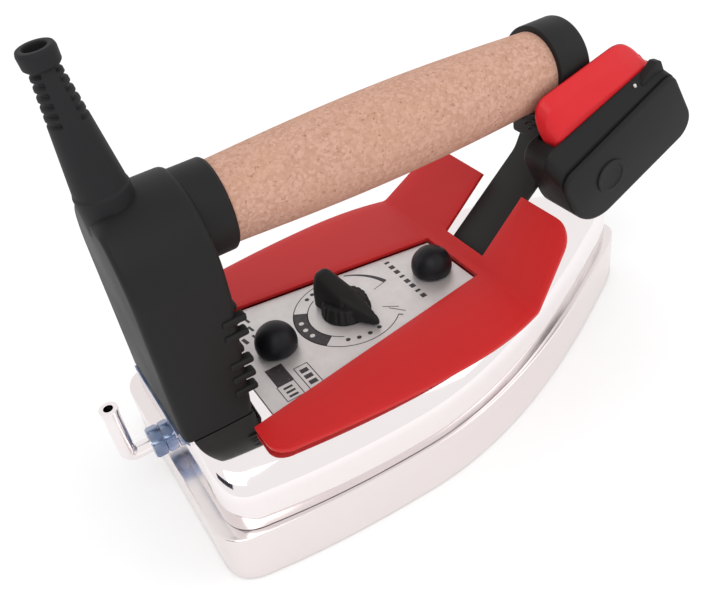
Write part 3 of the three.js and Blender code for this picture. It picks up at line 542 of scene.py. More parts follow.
def shieldHalf(s):
    # half width along the sheet: quarter circles at both ends, cubic curves between
    h = shield
    start = h["rear"] + h["corner"]
    rear = curve((start, h["rearHalf"]), (50, h["rearHalf"] + 2.2), (h["widestAt"] - 25, h["half"]),
                 (h["widestAt"], h["half"]), 40)
    front = curve((h["widestAt"], h["half"]), (h["widestAt"] + 14, h["half"]),
                  (h["bendX"] - 12, h["half"] - 1.5), (h["bendX"] + 1, h["bendHalf"]), 40)
    end = h["bendX"] + h["reach"]
    line = np.concatenate([rear, front, [(h["bendX"] + 1, h["bendHalf"]), (end, h["topHalf"])]])
    half = np.interp(s, line[:, 0], line[:, 1])
    rearCut = h["corner"] * (1 - np.sqrt(1 - np.clip((start - s) / h["corner"], 0, 1) ** 2))
    intoFront = np.clip((s - end + h["topCorner"]) / h["topCorner"], 0, 1)
    frontCut = h["topCorner"] * (1 - np.sqrt(1 - intoFront ** 2))
    return half - rearCut - frontCut


def makeShield():
    # grid of length s and width w; beyond the bend line the sheet turns up: it follows an arc of
    # the bend radius, then a straight slope
    h = shield
    end = h["bendX"] + h["reach"]
    round_ = np.sin(np.linspace(0, math.pi / 2, 9))
    s = np.concatenate([
        h["rear"] + h["corner"] * (1 - round_[::-1]),
        np.linspace(h["rear"] + h["corner"], h["windowEnd"], 40),
        np.linspace(h["windowEnd"], h["slotStart"], 12),
        np.linspace(h["slotStart"], end - h["topCorner"], 14),
        end - h["topCorner"] + h["topCorner"] * round_,
    ])
    s = np.unique(np.round(s, 4))
    half = shieldHalf(s)
    taper = (s - h["panelRear"]) / (h["panelFront"] - h["panelRear"])
    window = h["windowRear"] + (h["windowFront"] - h["windowRear"]) * np.minimum(taper, 1)
    window = np.where(s > h["slotStart"] - 2, h["slotHalf"], window)
    outer = np.linspace(0, 1, 9)
    inner = np.linspace(0, 1, 9)[1:-1]
    nearCut = h["axisY"] - window
    farCut = h["axisY"] + window
    width = np.concatenate([
        -half[:, None] + (nearCut + half)[:, None] * outer,
        nearCut[:, None] + (farCut - nearCut)[:, None] * inner,
        farCut[:, None] + (half - farCut)[:, None] * outer,
    ], axis=1)
    angle = math.radians(h["angle"])
    arc = h["bendRadius"] * angle
    past = s - h["bendX"] + h["bendRadius"] * math.tan(angle / 2)
    turn = np.clip(past / h["bendRadius"], 0, angle)
    straight = np.maximum(past - arc, 0)
    x = s - np.maximum(past, 0) + h["bendRadius"] * np.sin(turn) + straight * math.cos(angle)
    z = h["bendRadius"] * (1 - np.cos(turn)) + straight * math.sin(angle)
    points = np.stack([np.repeat(x[:, None], width.shape[1], 1), width,
                       np.repeat((shieldTop + z)[:, None], width.shape[1], 1)], -1)
    columns = width.shape[1]
    r = np.arange(len(s) - 1)[:, None]
    c = np.arange(columns - 1)[None, :]
    base = r * columns + c
    quads = np.stack(np.broadcast_arrays(base, base + columns, base + columns + 1, base + 1), -1)
    middle = (s[:-1] + s[1:])[:, None] / 2
    open_ = (c >= 8) & (c <= 15) & ((middle < h["windowEnd"]) | (middle > h["slotStart"]))
    piece = meshPiece("shieldSheet", [(points.reshape(-1, 3), quads[~open_].tolist())], redPaint,
                      replaces=("heat_shield",))
    wall = piece.modifiers.new("wall", "SOLIDIFY")
    wall.thickness = h["thickness"] * mm
    up = np.array([p.normal.z for p in piece.data.polygons]).mean()
    wall.offset = -1 if up > 0 else 1
    wall.use_even_offset = True
    edge = piece.modifiers.new("edge", "BEVEL")
    edge.width = h["edge"] * mm
    edge.segments = 2
    edge.limit_method = "ANGLE"
    edge.angle_limit = math.radians(h["edgeTurn"])


makeShield()
print("heat shield made")


dial = {"x": 83.7, "y": -1.8, "outer": 21.3, "inner": 15.7, "line": 0.4, "ink": 0.05, "dot": 0.95,
        "paleDot": 1.0, "frameLine": 0.35}


def arcBand(r0, r1, a0, a1, widen=0.0):
    # flat band between two radii and two angles in degrees; widen fattens it towards the end
    count = max(4, int(abs(a1 - a0) / 3))
    angle = np.radians(np.linspace(a0, a1, count))
    extra = np.linspace(0, widen, count)
    ray = np.stack([np.cos(angle), np.sin(angle)], 1)
    outline = np.concatenate([ray * (r1 + extra)[:, None], (ray * (r0 - extra)[:, None])[::-1]])
    return outline + [dial["x"], dial["y"]]


def dot(radius, degrees, size):
    a = math.radians(degrees)
    centre = np.array([dial["x"] + radius * math.cos(a), dial["y"] + radius * math.sin(a)])
    return centre + circle(size, 16)


def bar(x, y, length, width, degrees):
    a = math.radians(degrees)
    along = np.array([math.cos(a), math.sin(a)]) * length / 2
    across = np.array([-math.sin(a), math.cos(a)]) * width / 2
    centre = np.array([x, y])
    return np.array([centre - along - across, centre + along - across,
                     centre + along + across, centre - along + across])


def frameBars(x, y, length, width, degrees):
    # four bars around a box
    line = dial["frameLine"]
    a = math.radians(degrees)
    along = np.array([math.cos(a), math.sin(a)])
    across = np.array([-math.sin(a), math.cos(a)])
    centre = np.array([x, y])
    sides = []
    for sign in (-1, 1):
        sides.append(bar(*(centre + across * sign * width / 2), length, line, degrees))
        sides.append(bar(*(centre + along * sign * length / 2), line, width, degrees))
    return sides


def inked(outlines, low):
    shells = []
    for outline in outlines:
        low3 = np.hstack([outline, np.full((len(outline), 1), low)])
        high3 = np.hstack([outline, np.full((len(outline), 1), low + dial["ink"])])
        shells.append(loft(np.array([low3, high3])))
    return shells


def makePrint():
    d = dial
    out, inn, w = d["outer"], d["inner"], d["line"]
    mid = (out + inn) / 2
    marks = [arcBand(out - w, out, 92, 313), arcBand(inn - w, inn, 118, 236)]
    marks += [arcBand(inn - w, out, 147, 218)]
    marks += [dot(mid, a, d["dot"]) for a in (108, 119)]
    marks += [dot(mid - 1.0, a, d["dot"]) for a in (241, 255, 270, 285)]
    marks += [arcBand(out + 0.6, out + 1.2, 62, 14, 0.7), arcBand(inn, out + 1.5, 13.2, 14.2)]
    marks += [arcBand(out - 0.2, out + 1.6, 312, 313.5)]
    marks += [bar(98.2, -11.4, 6.5, 0.35, -40), bar(99.2, -14.4, 7, 0.4, -54)]
    marks += [bar(45.5, -17.2, 10.4, 6.9, -90)]
    marks += frameBars(54, -24.4, 13.2, 5.6, -90) + frameBars(45.2, -26.9, 8.6, 6.9, -90)
    for k in range(3):   # plain tick rows stand where lettering would be
        marks.append(bar(54, -20.9 - k * 3.5, 2.2, 3.2, -90))
        marks.append(bar(45.2, -24.8 - k * 2.3, 1.1, 3.6, -90))
    for k in range(8):
        marks.append(bar(112.6 - 0.1 * k, 13.2 - 3.9 * k, 2.4 if k % 3 else 1.3, 2.2, -90))
    for k in range(4):
        marks.append(bar(50.6 - 0.9 * k, 24.5 - 5.6 * k, 3.6, 1.1, -80))
        marks.append(bar(45.6 - 0.6 * k, 23.5 - 5.2 * k, 3.8, 1.5, -80))
    meshPiece("dialPrint", inked(marks, panelTop - 0.02), printInk)
    pale = [dot(mid, a, d["paleDot"]) for a in (166, 180, 194)]
    meshPiece("dialDots", inked(pale, panelTop + 0.005), brushedLabel)


makePrint()
print("dial print made")


ballKnob = {"radius": 8.2, "centre": 3, "foot": 7.2, "seat": 50, "sides": 64}


def makeBallKnob(name, nodeName):
    # circle profile cut off near the seat: radius r*cos(a), height c + r*sin(a)
    low, high = (np.array(c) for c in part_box(nodeName))
    middle = ((low + high) / 2 - heelPoint) / mm
    k = ballKnob
    a = np.linspace(-math.asin((k["centre"] - 0.8) / k["radius"]), math.pi / 2, 28)
    ball = np.stack([k["radius"] * np.cos(a), k["seat"] + k["centre"] + k["radius"] * np.sin(a)], 1)
    ball[-1, 0] = axisPoint
    foot = [(axisPoint, k["seat"]), (k["foot"] - 0.3, k["seat"]), (k["foot"], k["seat"] + 0.2)]
    seam = lambda angle, height: -0.06 * np.exp(-((np.sin(angle) / 0.03) ** 2))
    shell = turned(np.concatenate([foot, ball]), (middle[0], middle[1], 0), "z", k["sides"], seam)
    meshPiece(name, [shell], glossBlack, replaces=(nodeName,))


pointer = {
    "tail": 14, "tailRound": 4.5, "reach": 17.5, "noseRound": 1.2, "half": 6.4, "tip": 1.1, "height": 16,
    "middle": 10.4, "slope": 0.397, "base": 1.2, "squareness": 0.42, "narrowing": 0.38,
    "fluteDepth": 0.35, "flutePitch": 2.6, "degrees": -75, "skirt": 9.9, "skirtTop": 8.4,
    "skirtHeight": 5.5, "skirtFlute": 0.38, "flutes": 22, "seat": 50,
}


def makePointerKnob():
    # pointer: grid of length s and angle a over the top, half width w(s) and height h(s) of a
    # squarish superellipse; skirt: a turned cone with cosine flutes
    p = pointer
    tailRound, noseRound = p["tailRound"], p["noseRound"]
    s = np.concatenate([-p["tail"] + tailRound * (1 - np.cos(np.linspace(0.02, math.pi / 2, 12))),
                        np.linspace(-p["tail"] + 4.6, p["reach"] - noseRound, 26),
                        p["reach"] - noseRound + 1.19 * np.sin(np.linspace(0.1, math.pi / 2, 6))])
    round_ = np.sqrt(1 - np.clip((-p["tail"] + tailRound - s) / tailRound, 0, 1) ** 2)
    intoNose = np.clip((s - p["reach"] + noseRound) / noseRound, 0, 1)
    nose = np.sqrt(np.clip(1 - intoNose ** 2, 0.01, 1))
    taper = np.clip((s - 2) / (p["reach"] - 2), 0, 1)
    w = (p["half"] * (1 - taper) + p["tip"] * taper) * round_ * nose
    top = np.minimum(p["middle"] - s * p["slope"], p["height"])
    h = (top - p["base"]) * (0.55 + 0.45 * round_) * (0.75 + 0.25 * nose)
    a = around(48)
    power = p["squareness"]
    y = np.sign(np.cos(a)) * np.abs(np.cos(a)) ** power
    z = np.sign(np.sin(a)) * np.abs(np.sin(a)) ** power
    narrow = 1 - p["narrowing"] * np.maximum(z, 0)[None, :] ** 2     # sides lean in towards the ridge
    ys = w[:, None] * y[None, :] * narrow
    zs = p["base"] + h[:, None] * np.maximum(z, 0)[None, :]
    wave = np.cos(s * 2 * math.pi / p["flutePitch"])[:, None]
    flutes = p["fluteDepth"] * wave * (np.abs(y) > 0.9)[None, :] * (s > 0)[:, None]
    ys = ys + np.sign(ys) * flutes * np.clip(w / p["half"], 0, 1)[:, None]
    rings = np.stack([np.repeat(s[:, None], len(a), 1), ys, zs], -1)
    fin = loft(rings)
    depth = p["skirtFlute"]
    ripple = lambda angle, height: -depth * (0.5 + 0.5 * np.cos(angle * p["flutes"])) * (height > 0.5)
    skirtProfile = [(axisPoint, 0), (p["skirt"], 0), (p["skirt"], 1.0), (p["skirt"] - 0.2, 1.2),
                    (p["skirtTop"] + 0.5, p["skirtHeight"] - 0.6), (p["skirtTop"], p["skirtHeight"]),
                    (axisPoint, p["skirtHeight"] + 0.2)]
    skirt = turned(skirtProfile, (0, 0, 0), "z", 176, ripple)
    turn = math.radians(p["degrees"])
    c, n = math.cos(turn), math.sin(turn)
    rotation = np.array([[c, -n, 0], [n, c, 0], [0, 0, 1]])
    seat = [dial["x"], dial["y"], p["seat"]]
    shells = [(points @ rotation.T + seat, faces) for points, faces in (fin, skirt)]
    meshPiece("dialKnob", shells, mouldedBlack, body="dial", replaces=("thermostat_knob",))


makeBallKnob("rearBall", "rear_ball_knob")
makeBallKnob("frontBall", "front_ball_knob")
makePointerKnob()
print("knobs made")


housing = {
    "rear": 4.4, "foot": 30.5, "front": 34.8, "half": 26.6, "base": 48.9, "neck": 97, "shoulder": 106,
    "top": 132.6, "edge": 2.5, "rearSlope": 5, "creaseDepth": 0.5, "creaseEnd": 18, "creaseRun": 14,
    "collarRadius": 16.2, "collarStart": 27, "collarEnd": 46, "collarBore": 14.9, "boreDepth": 4,
    "gripZ": 115.9, "ribs": 7, "ribLow": 57, "ribHigh": 92.1, "ribThick": 3.0, "ribHalf": 24.2,
    "ribBack": 2, "ribProud": 1.6, "notchBack": 5.6, "notchDepth": 3.2, "notchHalf": 1.3,
}


def frontX(z):
    h = housing
    return h["foot"] + (h["front"] - h["foot"]) * np.clip((z - h["base"]) / (h["neck"] - h["base"]), 0, 1)


def makeHousing():
    # an arch outline (flat sides, half-circle roof) repeated from rear to front; at both ends it
    # is drawn in by edge*(1-sin) while x moves by edge*(1-cos)
    h = housing
    rise = np.linspace(h["base"], h["shoulder"], 26)
    roof = np.linspace(0, math.pi, 41)[1:-1]
    arch = np.concatenate([
        np.stack([np.full(26, h["half"]), rise], 1),
        np.stack([h["half"] * np.cos(roof), h["shoulder"] + (h["top"] - h["shoulder"]) * np.sin(roof)], 1),
        np.stack([np.full(26, -h["half"]), rise[::-1]], 1),
    ])
    turn = np.linspace(0, math.pi / 2, 6)
    edge = h["edge"]
    draws = np.concatenate([edge * (1 - np.sin(turn)), np.zeros(8), edge * (1 - np.cos(turn))])
    shares = np.concatenate([np.zeros(6), np.linspace(0, 1, 10)[1:-1], np.ones(6)])
    moves = np.concatenate([edge * (1 - np.cos(turn)), np.linspace(edge, -edge, 10)[1:-1],
                            -edge * (1 - np.sin(turn))])
    rings = []
    for draw, share, move in zip(draws, shares, moves):
        flat = inward(arch, draw)
        flat[:, 1] = np.maximum(flat[:, 1], h["base"])
        rear = h["rear"] + np.maximum(flat[:, 1] - (h["top"] - h["rearSlope"]), 0)
        x = rear + (frontX(flat[:, 1]) - rear) * share + move
        crease = h["creaseDepth"] * np.clip((h["creaseEnd"] - x) / h["creaseRun"], 0, 1)
        y = flat[:, 0] * (1 - crease / h["half"])
        rings.append(np.stack([x, y, flat[:, 1]], 1))
    rings = np.array(rings)
    points, faces = loft(rings, False, False)
    count = len(arch)
    i = np.arange(count // 2 - 1)
    for start in (0, (len(rings) - 1) * count):
        across = [start + i, start + i + 1, start + count - 2 - i, start + count - 1 - i]
        faces += np.stack(across, 1).tolist()
        if count % 2:
            faces.append([start + count // 2 - 1, start + count // 2, start + count // 2 + 1])
    start, end, bore = h["collarStart"], h["collarEnd"], h["collarBore"]
    floor = end - h["boreDepth"]
    collarProfile = roundCorners(
        [(axisPoint, start), (h["collarRadius"], start), (h["collarRadius"], end), (bore, end),
         (bore, floor), (axisPoint, floor)], [0, 0, 1.4, 0.5, 0.2, 0], 5, False)
    collar = turned(collarProfile, (0, 0, h["gripZ"]), "x", 96)
    piece = meshPiece("housingShell", [(points, faces)], mouldedBlack, sharp=30,
                      replaces=("rear_housing",))
    pitch = (h["ribHigh"] - h["ribLow"]) / (h["ribs"] - 1)
    notches = []
    for k in range(h["ribs"] - 1):
        level = h["ribLow"] + pitch * (k + 0.5)
        x = float(frontX(level))
        for side in (-1, 1):
            y = sorted((side * (h["half"] + 1), side * (h["half"] - h["notchDepth"])))
            z = (level - h["notchHalf"], level + h["notchHalf"])
            notches.append(boxShell((x - h["notchBack"], x + 3), y, z, 0.9))
    carve(piece, notches)
    meshPiece("housingCollar", [collar], mouldedBlack)
    ribs = []
    for k in range(h["ribs"]):
        level = h["ribLow"] + pitch * k
        x = float(frontX(level))
        half = h["ribThick"] / 2
        ribs.append(boxShell((x - h["ribBack"], x + h["ribProud"]), (-h["ribHalf"], h["ribHalf"]),
                             (level - half, level + half), 1.1))
    meshPiece("coolingRibs", ribs, mouldedBlack, replaces=("housing_front_cover",))


makeHousing()
print("housing made")


grip = {
    "z": 115.9, "start": 46, "end": 179.5, "endRadius": 14.5, "midRadius": 16.7, "hidden": 3.6, "sides": 96,
    "pastEnd": 1.5,
}
cap = {
    "radius": 16.7, "length": 14.5, "edge": 1.8, "lugX": (175.6, 193), "lugY": (-15.2, 8),
    "lugZ": (88.6, 108), "lugEdge": 1.6, "ridges": 3, "ridgeStart": 6.0, "ridgePitch": 2.6,
    "ridgeRadius": 0.55,
}
strap = {
    "thickness": 2.5, "half": 10.5, "axisY": -2.5, "bend": 7, "kneeBend": 12, "footX": 113, "footTop": 46.9,
    "riseX": 137.5, "knee": (177.6, 79.4), "tabLow": 90, "tabTop": 123,
}


def makeGrip():
    # radius swells by a half sine between the two ends
    g = grip
    x = np.linspace(0, 1, 72)
    radius = g["endRadius"] + (g["midRadius"] - g["endRadius"]) * np.sin(math.pi * x)
    along = g["start"] + (g["end"] - g["start"]) * x
    profile = np.concatenate([
        [(axisPoint, g["start"] - g["hidden"]), (g["endRadius"], g["start"] - g["hidden"])],
        np.stack([radius, along], 1),
        [(g["endRadius"], g["end"] + g["pastEnd"]), (axisPoint, g["end"] + g["pastEnd"])],
    ])
    shell = turned(profile, (0, 0, g["z"]), "x", g["sides"])
    meshPiece("corkHandle", [shell], pressedCork, replaces=("cork_grip",))


def makeCap():
    c = cap
    front = grip["end"] + c["length"]
    corners = [(axisPoint, grip["end"]), (c["radius"], grip["end"]), (c["radius"], front), (axisPoint, front)]
    profile = roundCorners(corners, [0, 0.5, c["edge"], 0], 6, False)
    round_ = turned(profile, (0, 0, grip["z"]), "x", 96)
    x, y, z = c["lugX"], c["lugY"], c["lugZ"]
    lug = boxShell(x, y, z, c["lugEdge"], 4)
    ridges = []
    for k in range(c["ridges"]):   # curved stiffening ridges on the lug's rear face
        a = np.linspace(-0.9, 0.9, 15)
        bow = c["ridgeStart"] + c["ridgePitch"] * k
        path = np.stack([np.full(15, x[0]), y[0] + 8 + bow * np.sin(a), z[0] + 1 + bow * np.cos(a)], 1)
        section = circle(c["ridgeRadius"], 10)
        ring = path[:, None] + np.stack([section[:, 0][None] + 0 * a[:, None],
                                         section[:, 1][None] * np.sin(a)[:, None],
                                         section[:, 1][None] * np.cos(a)[:, None]], -1)
        ridges.append(loft(ring))
    meshPiece("gripCap", [round_, lug, *ridges], mouldedBlack, replaces=("front_cap",))


def makeStrap():
    # centre line with rounded bends; the strip is its rectangle section carried along it
    s = strap
    tab = (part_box("front_bracket")[1][0] - heelPoint[0]) / mm
    t = s["thickness"]
    footZ = s["footTop"] - t / 2
    tabX = tab - t / 2
    corners = [(s["footX"], footZ), (s["riseX"], footZ), s["knee"], (tabX, s["tabLow"]), (tabX, s["tabTop"])]
    path = roundCorners(corners, [0, s["bend"], s["kneeBend"], s["kneeBend"], 0], 8, False)
    path = np.stack([path[:, 0], np.full(len(path), s["axisY"]), path[:, 1]], 1)
    half = s["half"]
    section = roundCorners([(-t / 2, -half), (t / 2, -half), (t / 2, half), (-t / 2, half)], 0.5, 3)
    meshPiece("bracketStrap", [loft(carried(path, section))], paintedBlack, replaces=("front_bracket",))


makeGrip()
makeCap()
makeStrap()
print("handle made")


guard = {
    "x": 12.4, "lean": 4, "rise": 49, "foot": 9.0, "base": 8.6, "tip": 4.6, "flange": 5.8, "bore": 3.5,
    "coneStart": 4.4, "sunk": -9, "boreDepth": 14, "ribs": 6, "ribStart": 26.5, "ribPitch": 2.9,
    "grooveDepth": 1.15,
}


def makeGuard():
    # straight cone with a lipped tip; finger grooves sink over part of the turn, a step apart
    g = guard
    top = g["rise"]
    z = np.linspace(g["coneStart"], top - 6.2, 120)
    cone = np.stack([np.interp(z, [g["coneStart"], top - 6], [g["base"], g["tip"]]), z], 1)
    bore, floor = g["bore"], top - g["boreDepth"]
    lip = [(g["tip"], top - 6), (g["tip"] + 1, top - 5), (g["flange"], top - 1.2), (g["flange"] - 0.4, top),
           (bore + 0.1, top), (bore, top - 0.8), (bore, floor)]
    profile = np.concatenate([
        [(axisPoint, g["sunk"]), (g["foot"], g["sunk"])],
        roundCorners([(g["foot"], -7), (g["foot"], 3.3), (g["base"] + 0.1, 4.3)], [0, 0.5, 0], 3, False),
        cone,
        roundCorners(lip, [0, 0.6, 0.8, 0.5, 0.4, 0.3, 0], 4, False),
        [(axisPoint, floor)],
    ])

    def grooves(angle, height):
        wave = 0.5 - 0.5 * np.cos((height - g["ribStart"]) * 2 * math.pi / g["ribPitch"])
        inZone = (height > g["ribStart"]) & (height < g["ribStart"] + g["ribs"] * g["ribPitch"])
        side = np.abs(np.cos(angle)) > 0.45
        outer = height < top - 6
        return -g["grooveDepth"] * np.clip(wave * 1.6 - 0.5, 0, 1) * inZone * side * outer

    points, faces = turned(profile, (0, 0, 0), "z", 96, grooves)
    a = math.radians(-g["lean"])
    lean = np.array([[math.cos(a), 0, math.sin(a)], [0, 1, 0], [-math.sin(a), 0, math.cos(a)]])
    shell = (points @ lean.T + [g["x"], 0, housing["top"]], faces)
    meshPiece("cordSleeve", [shell], blackRubber, replaces=("cord_guard",))


makeGuard()
print("cord guard made")


inlet = {
    "radius": 3, "bore": 1.8, "z": 32, "elbowX": -12.4, "top": 56.6, "end": 16, "bend": 3.4, "nut": 11,
    "boreDepth": 9, "chamfer": 0.7, "sides": 96,
}


def makeElbow():
    # a pipe carried round one bend, its wall folding back inside to the bore at the open end
    n = inlet
    corners = [(n["end"], n["z"]), (n["elbowX"], n["z"]), (n["elbowX"], n["top"])]
    bend = roundCorners(corners, [0, n["bend"], 0], 12, False)
    rim = [(n["elbowX"], n["top"] - drop) for drop in (5, 3, 1)]
    path = np.concatenate([bend[:-1], rim, bend[-1:]])
    path = np.stack([path[:, 0], np.zeros(len(path)), path[:, 1]], 1)
    radius = np.full(len(path), float(n["radius"]))
    radius[-4:] = (n["radius"], n["radius"] + 0.1, n["radius"] + 0.4, n["radius"] + 0.45)
    unit = carried(path, circle(1, 40)) - path[:, None]
    outside = path[:, None] + unit * radius[:, None, None]
    inside = path[-1:, None] + unit[-1:] * n["bore"]
    deep = inside - [0, 0, n["boreDepth"]]
    rings = np.concatenate([outside, inside, deep])
    meshPiece("inletElbow", [loft(rings)], chromePlate, replaces=("steam_elbow",))


def makeNut(name, nodeName):
    # hexagon radius a/cos(t) drawn down to a circle at both faces, bored through
    low, high = ((np.array(c) - heelPoint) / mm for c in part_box(nodeName))
    n = inlet
    flat = n["nut"] / 2
    angle = around(n["sides"])
    hexagon = flat / np.cos((angle + math.pi / 6) % (math.pi / 3) - math.pi / 6)
    face = np.minimum(hexagon, flat * 1.03)
    bore = np.full(n["sides"], n["radius"] + 0.1)
    rear, front, cut = low[0], high[0], n["chamfer"]
    rows = [(bore, rear), (face, rear), (hexagon, rear + cut), (hexagon, front - cut), (face, front),
            (bore, front)]
    rings = np.array([
        np.stack([np.full(n["sides"], x), r * np.cos(angle), n["z"] + r * np.sin(angle)], 1) for r, x in rows
    ])
    meshPiece(name, [tubeRing(rings)], blueZinc, sharp=25, replaces=(nodeName,))


makeElbow()
makeNut("lockNut", "elbow_lock_nut")
makeNut("wallNut", "elbow_wall_nut")
print("steam inlet made")


switch = {
    "x": 165.7, "z": 89.8, "pitch": 25, "length": 58, "height": 30.6, "outerY": -36.5, "coverWall": 1.8,
    "roofY": -28.2, "innerY": -15.6, "rise": 5, "bossU": 15.5, "bossV": -15.9, "bossRadius": 6.8,
    "liftU": (-4, 8, 50, 58), "lift": (2.6, 3.6, -0.8, -1.2), "slotU": (4.1, 54.9), "slotV": (1.2, 20),
    "slotGap": 0.35, "finY": (-32.4, -28.6), "pipAt": (42, -30.6, 0), "pipRadius": 0.55,
}
button = {
    "near": -27.6, "far": -18.2, "base": 1, "rearU": 15, "frontU": 45, "start": 4.4, "end": 54.3,
    "rearEnd": 14.5, "frontEnd": 44, "rearPower": 2.4, "sidePower": 2.6, "tipPower": 3,
}


def pitched(points):
    # u, y, v to x, y, z: turned nose up about the box's rear top corner
    s = switch
    a = math.radians(s["pitch"])
    u, y, v = points[..., 0], points[..., 1], points[..., 2]
    x = s["x"] + u * math.cos(a) - v * math.sin(a)
    z = s["z"] + u * math.sin(a) + v * math.cos(a)
    return np.stack([x, y, z], -1)


def placed(shell):
    return pitched(shell[0]), shell[1]


def switchSide(top, grow=0.0):
    s = switch
    left, right, low = -4 - grow, s["length"] + grow, -s["height"] - grow
    high = top + grow
    corners = [(left, low), (right, low), (right - 2.6, high), (left, high)]
    return roundCorners(corners, [14, 8.5, 5, 6], 12)


def makeSwitchBox():
    # outlines of the box stand one behind the other in y; the roof's height climbs with y
    s = switch
    start = s["outerY"] + s["coverWall"] + 0.25
    run = np.array([start, start + 0.01, -33, -31, -29.5, s["roofY"], s["roofY"] + 0.4, -22, s["innerY"] - 2,
                    s["innerY"] - 1, s["innerY"] - 0.4, s["innerY"]])
    grow = np.array([-0.3, 0, 0, 0, 0, 0, 0, 0, 0, -0.25, -0.8, -1.6])
    share = np.clip((run - s["outerY"]) / (s["roofY"] - s["outerY"]), 0, 1)
    rings = []
    for y, g, t in zip(run, grow, share):
        flat = switchSide(s["rise"] * t, g)
        lift = np.interp(flat[:, 0], s["liftU"], s["lift"])   # the roof falls to the front
        flat[:, 1] += t * lift * np.clip(1 + flat[:, 1] / 12, 0, 1)
        rings.append(np.stack([flat[:, 0], np.full(len(flat), y), flat[:, 1]], 1))
    case = meshPiece("switchCase", [placed(loft(np.array(rings)))], mouldedBlack, replaces=("switch_box",))
    slotY = (button["near"] - s["slotGap"], button["far"] + s["slotGap"])
    slot = boxShell(s["slotU"], slotY, s["slotV"], 0.8)
    carve(case, [placed(slot)])
    fin = roundCorners([(44, 1), (54.6, 0), (54.6, 5.2), (52.4, 6.8), (44, 3.2)], [0.4, 0.4, 1, 1, 0.4], 4)
    tab = slab(fin, *s["finY"], 0.5, 3, plane="xz")
    r = s["pipRadius"]
    pipProfile = [(axisPoint, 3.4), (r, 3.4), (r, 4.35), (0.35, 4.55), (axisPoint, 4.6)]
    pip = turned(pipProfile, s["pipAt"], "z", 20)
    meshPiece("switchTab", [placed(tab)], mouldedBlack)
    meshPiece("switchPip", [placed(pip)], whitePrint)


def makeSwitchCover():
    s = switch
    flat = switchSide(0)
    shell = slab(flat, s["outerY"], s["outerY"] + s["coverWall"], 0.3, 3, 1.3, plane="xz")
    r, face = s["bossRadius"], s["outerY"]
    corners = [(axisPoint, face + 1), (r, face + 1), (r, face - 0.7), (r - 1.4, face - 0.7),
               (r - 1.8, face - 0.35), (axisPoint, face - 0.35)]
    bossProfile = roundCorners(corners, [0, 0, 0.35, 0.2, 0.2, 0], 4, False)
    boss = turned(bossProfile, (s["bossU"], 0, s["bossV"]), "y", 64)
    meshPiece("switchSideCover", [placed(shell), placed(boss)], mouldedBlack,
              replaces=("switch_cover",))


def makeButton():
    # section corners at the rear and the front are joined by straight lines in u; near both
    # ends the section shrinks towards its base by a superellipse (1-t^n)^(1/n)
    b = button
    rear = [(b["near"], 0), (b["near"], 9.4), (-23.2, 16.6), (-18.9, 20.6), (b["far"], 19.8), (b["far"], 0)]
    front = [(b["near"], 0), (b["near"], 4.6), (-23.2, 9.4), (-18.9, 14.8), (b["far"], 14.0), (b["far"], 0)]
    radii = [0.1, 1.4, 1.6, 1.2, 0.9, 0.1]
    rearRing = roundCorners(rear, radii, 6)
    frontRing = roundCorners(front, radii, 6)
    bow = np.sin(np.linspace(0.02, math.pi / 2, 16))
    tip, power = b["frontEnd"], b["sidePower"]
    u = np.concatenate([b["start"] + 10 * (1 - bow[::-1]), np.linspace(b["rearU"], tip, 20),
                        tip + (b["end"] - tip) * bow])
    share = (u - b["rearU"]) / (b["frontU"] - b["rearU"])
    heightRear = (1 - np.clip((b["rearEnd"] - u) / 10.001, 0, 1) ** b["rearPower"]) ** (1 / b["rearPower"])
    heightFront = (1 - np.clip((u - tip) / (b["end"] - 43.999), 0, 1) ** power) ** (1 / power)
    widthRear = (1 - np.clip((9.5 - u) / 5.05, 0, 1) ** power) ** (1 / power)
    widthFront = (1 - np.clip((u - 49) / (b["end"] - 48.95), 0, 1) ** b["tipPower"]) ** (1 / b["tipPower"])
    ring = rearRing[None] + (frontRing - rearRing)[None] * share[:, None, None]
    middle = (b["near"] + b["far"]) / 2
    y = middle + (ring[..., 0] - middle) * np.maximum(widthRear * widthFront, 0.12)[:, None]
    v = b["base"] + ring[..., 1] * np.maximum(heightRear * heightFront, 0.3)[:, None]
    rings = np.stack([np.repeat(u[:, None], ring.shape[1], 1), y, v], -1)
    meshPiece("thumbLever", [placed(loft(rings))], redPlastic, body="thumb_button", sharp=50,
              replaces=("steam_button",))


makeSwitchBox()
makeSwitchCover()
makeButton()
print("thumb switch made")


studio = {
    "cameraAt": (-133.9, -232.3, 255.9), "azimuth": -25.4, "elevation": 38.6, "roll": -9.9, "lens": 42.28,
    "floorSize": 6.0, "world": 1.0,
}


def makeCamera():
    # the camera looks along minus back; right and up are turned about it by the roll
    s = studio
    a, e, r = (math.radians(s[k]) for k in ("azimuth", "elevation", "roll"))
    back = np.array([math.sin(a) * math.cos(e), -math.cos(a) * math.cos(e), math.sin(e)])
    right = np.array([math.cos(a), math.sin(a), 0.0])
    up = np.cross(back, right)
    x = math.cos(r) * right + math.sin(r) * up
    y = -math.sin(r) * right + math.cos(r) * up
    camera = bpy.data.objects.new("camera", bpy.data.cameras.new("camera"))
    matrix = np.eye(4)
    matrix[:3, 0], matrix[:3, 1], matrix[:3, 2] = x, y, back
    matrix[:3, 3] = np.array(s["cameraAt"]) * mm
    camera.matrix_world = Matrix(matrix.tolist())
    camera.data.lens = s["lens"]
    camera.data.sensor_width = 36
    camera.data.clip_start = 0.01
    bpy.context.collection.objects.link(camera)
    scene.camera = camera


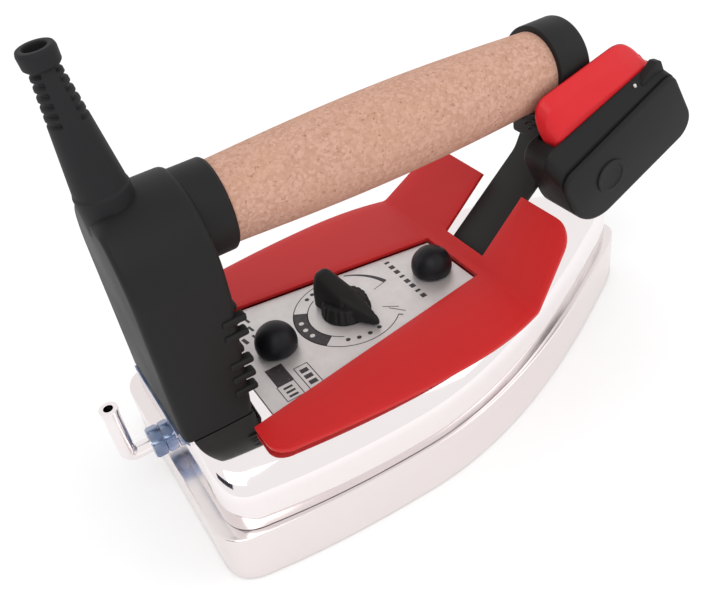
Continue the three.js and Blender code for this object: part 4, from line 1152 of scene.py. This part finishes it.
def newSheet(name, corners, material):
    mesh = bpy.data.meshes.new(name)
    mesh.from_pydata(corners, [], [(0, 1, 2, 3)])
    mesh.materials.append(material)
    sheet = bpy.data.objects.new(name, mesh)
    bpy.context.collection.objects.link(sheet)
    return sheet


def makeFloor():
    size = studio["floorSize"]
    material, _, shader = newMaterial("palePaper", linear(250, 250, 250), 0.9)
    shader.inputs["Specular IOR Level"].default_value = 0.1
    corners = [(-size, -size, 0), (size, -size, 0), (size, size, 0), (-size, size, 0)]
    floor = newSheet("studioFloor", corners, material)


def makeLight(name, place, target, size, power):
    lamp = bpy.data.lights.new(name, "AREA")
    lamp.shape = "RECTANGLE"
    lamp.size, lamp.size_y = size
    lamp.energy = power
    made = bpy.data.objects.new(name, lamp)
    made.location = place
    aim = np.array(target) - np.array(place)
    made.rotation_euler = Vector(aim).to_track_quat("-Z", "Y").to_euler()
    bpy.context.collection.objects.link(made)


def makeCard(name, place, target, size, color):
    # a flag that only mirrors see, to give the plated parts something dark to reflect
    w, h = size[0] / 2, size[1] / 2
    corners = [Vector(c) for c in ((-w, -h, 0), (w, -h, 0), (w, h, 0), (-w, h, 0))]
    turn = (Vector(target) - Vector(place)).to_track_quat("-Z", "Y")
    material = newMaterial(name, color, 0.9)[0]
    card = newSheet(name, [tuple(turn @ c + Vector(place)) for c in corners], material)
    card.visible_camera = False
    card.visible_diffuse = False
    card.visible_shadow = False


def makeWorld():
    world = bpy.data.worlds.new("studioWorld")
    world.use_nodes = True
    shade = world.node_tree.nodes["Background"]
    shade.inputs["Color"].default_value = (1, 1, 1, 1)
    shade.inputs["Strength"].default_value = studio["world"]
    scene.world = world


makeCamera()
makeFloor()
makeWorld()
ironMiddle = (0, 0, 0.05)
makeLight("keyLight", (-0.5, -0.6, 1.0), ironMiddle, (0.7, 0.7), 3)
makeLight("fillLight", (0.7, -0.5, 0.7), ironMiddle, (0.6, 0.6), 1)
makeCard("darkCard", (-1.0, -0.4, 0.55), ironMiddle, (0.7, 0.35), (0.02, 0.02, 0.03, 1))
scene.view_settings.view_transform = "Standard"
print("studio made")
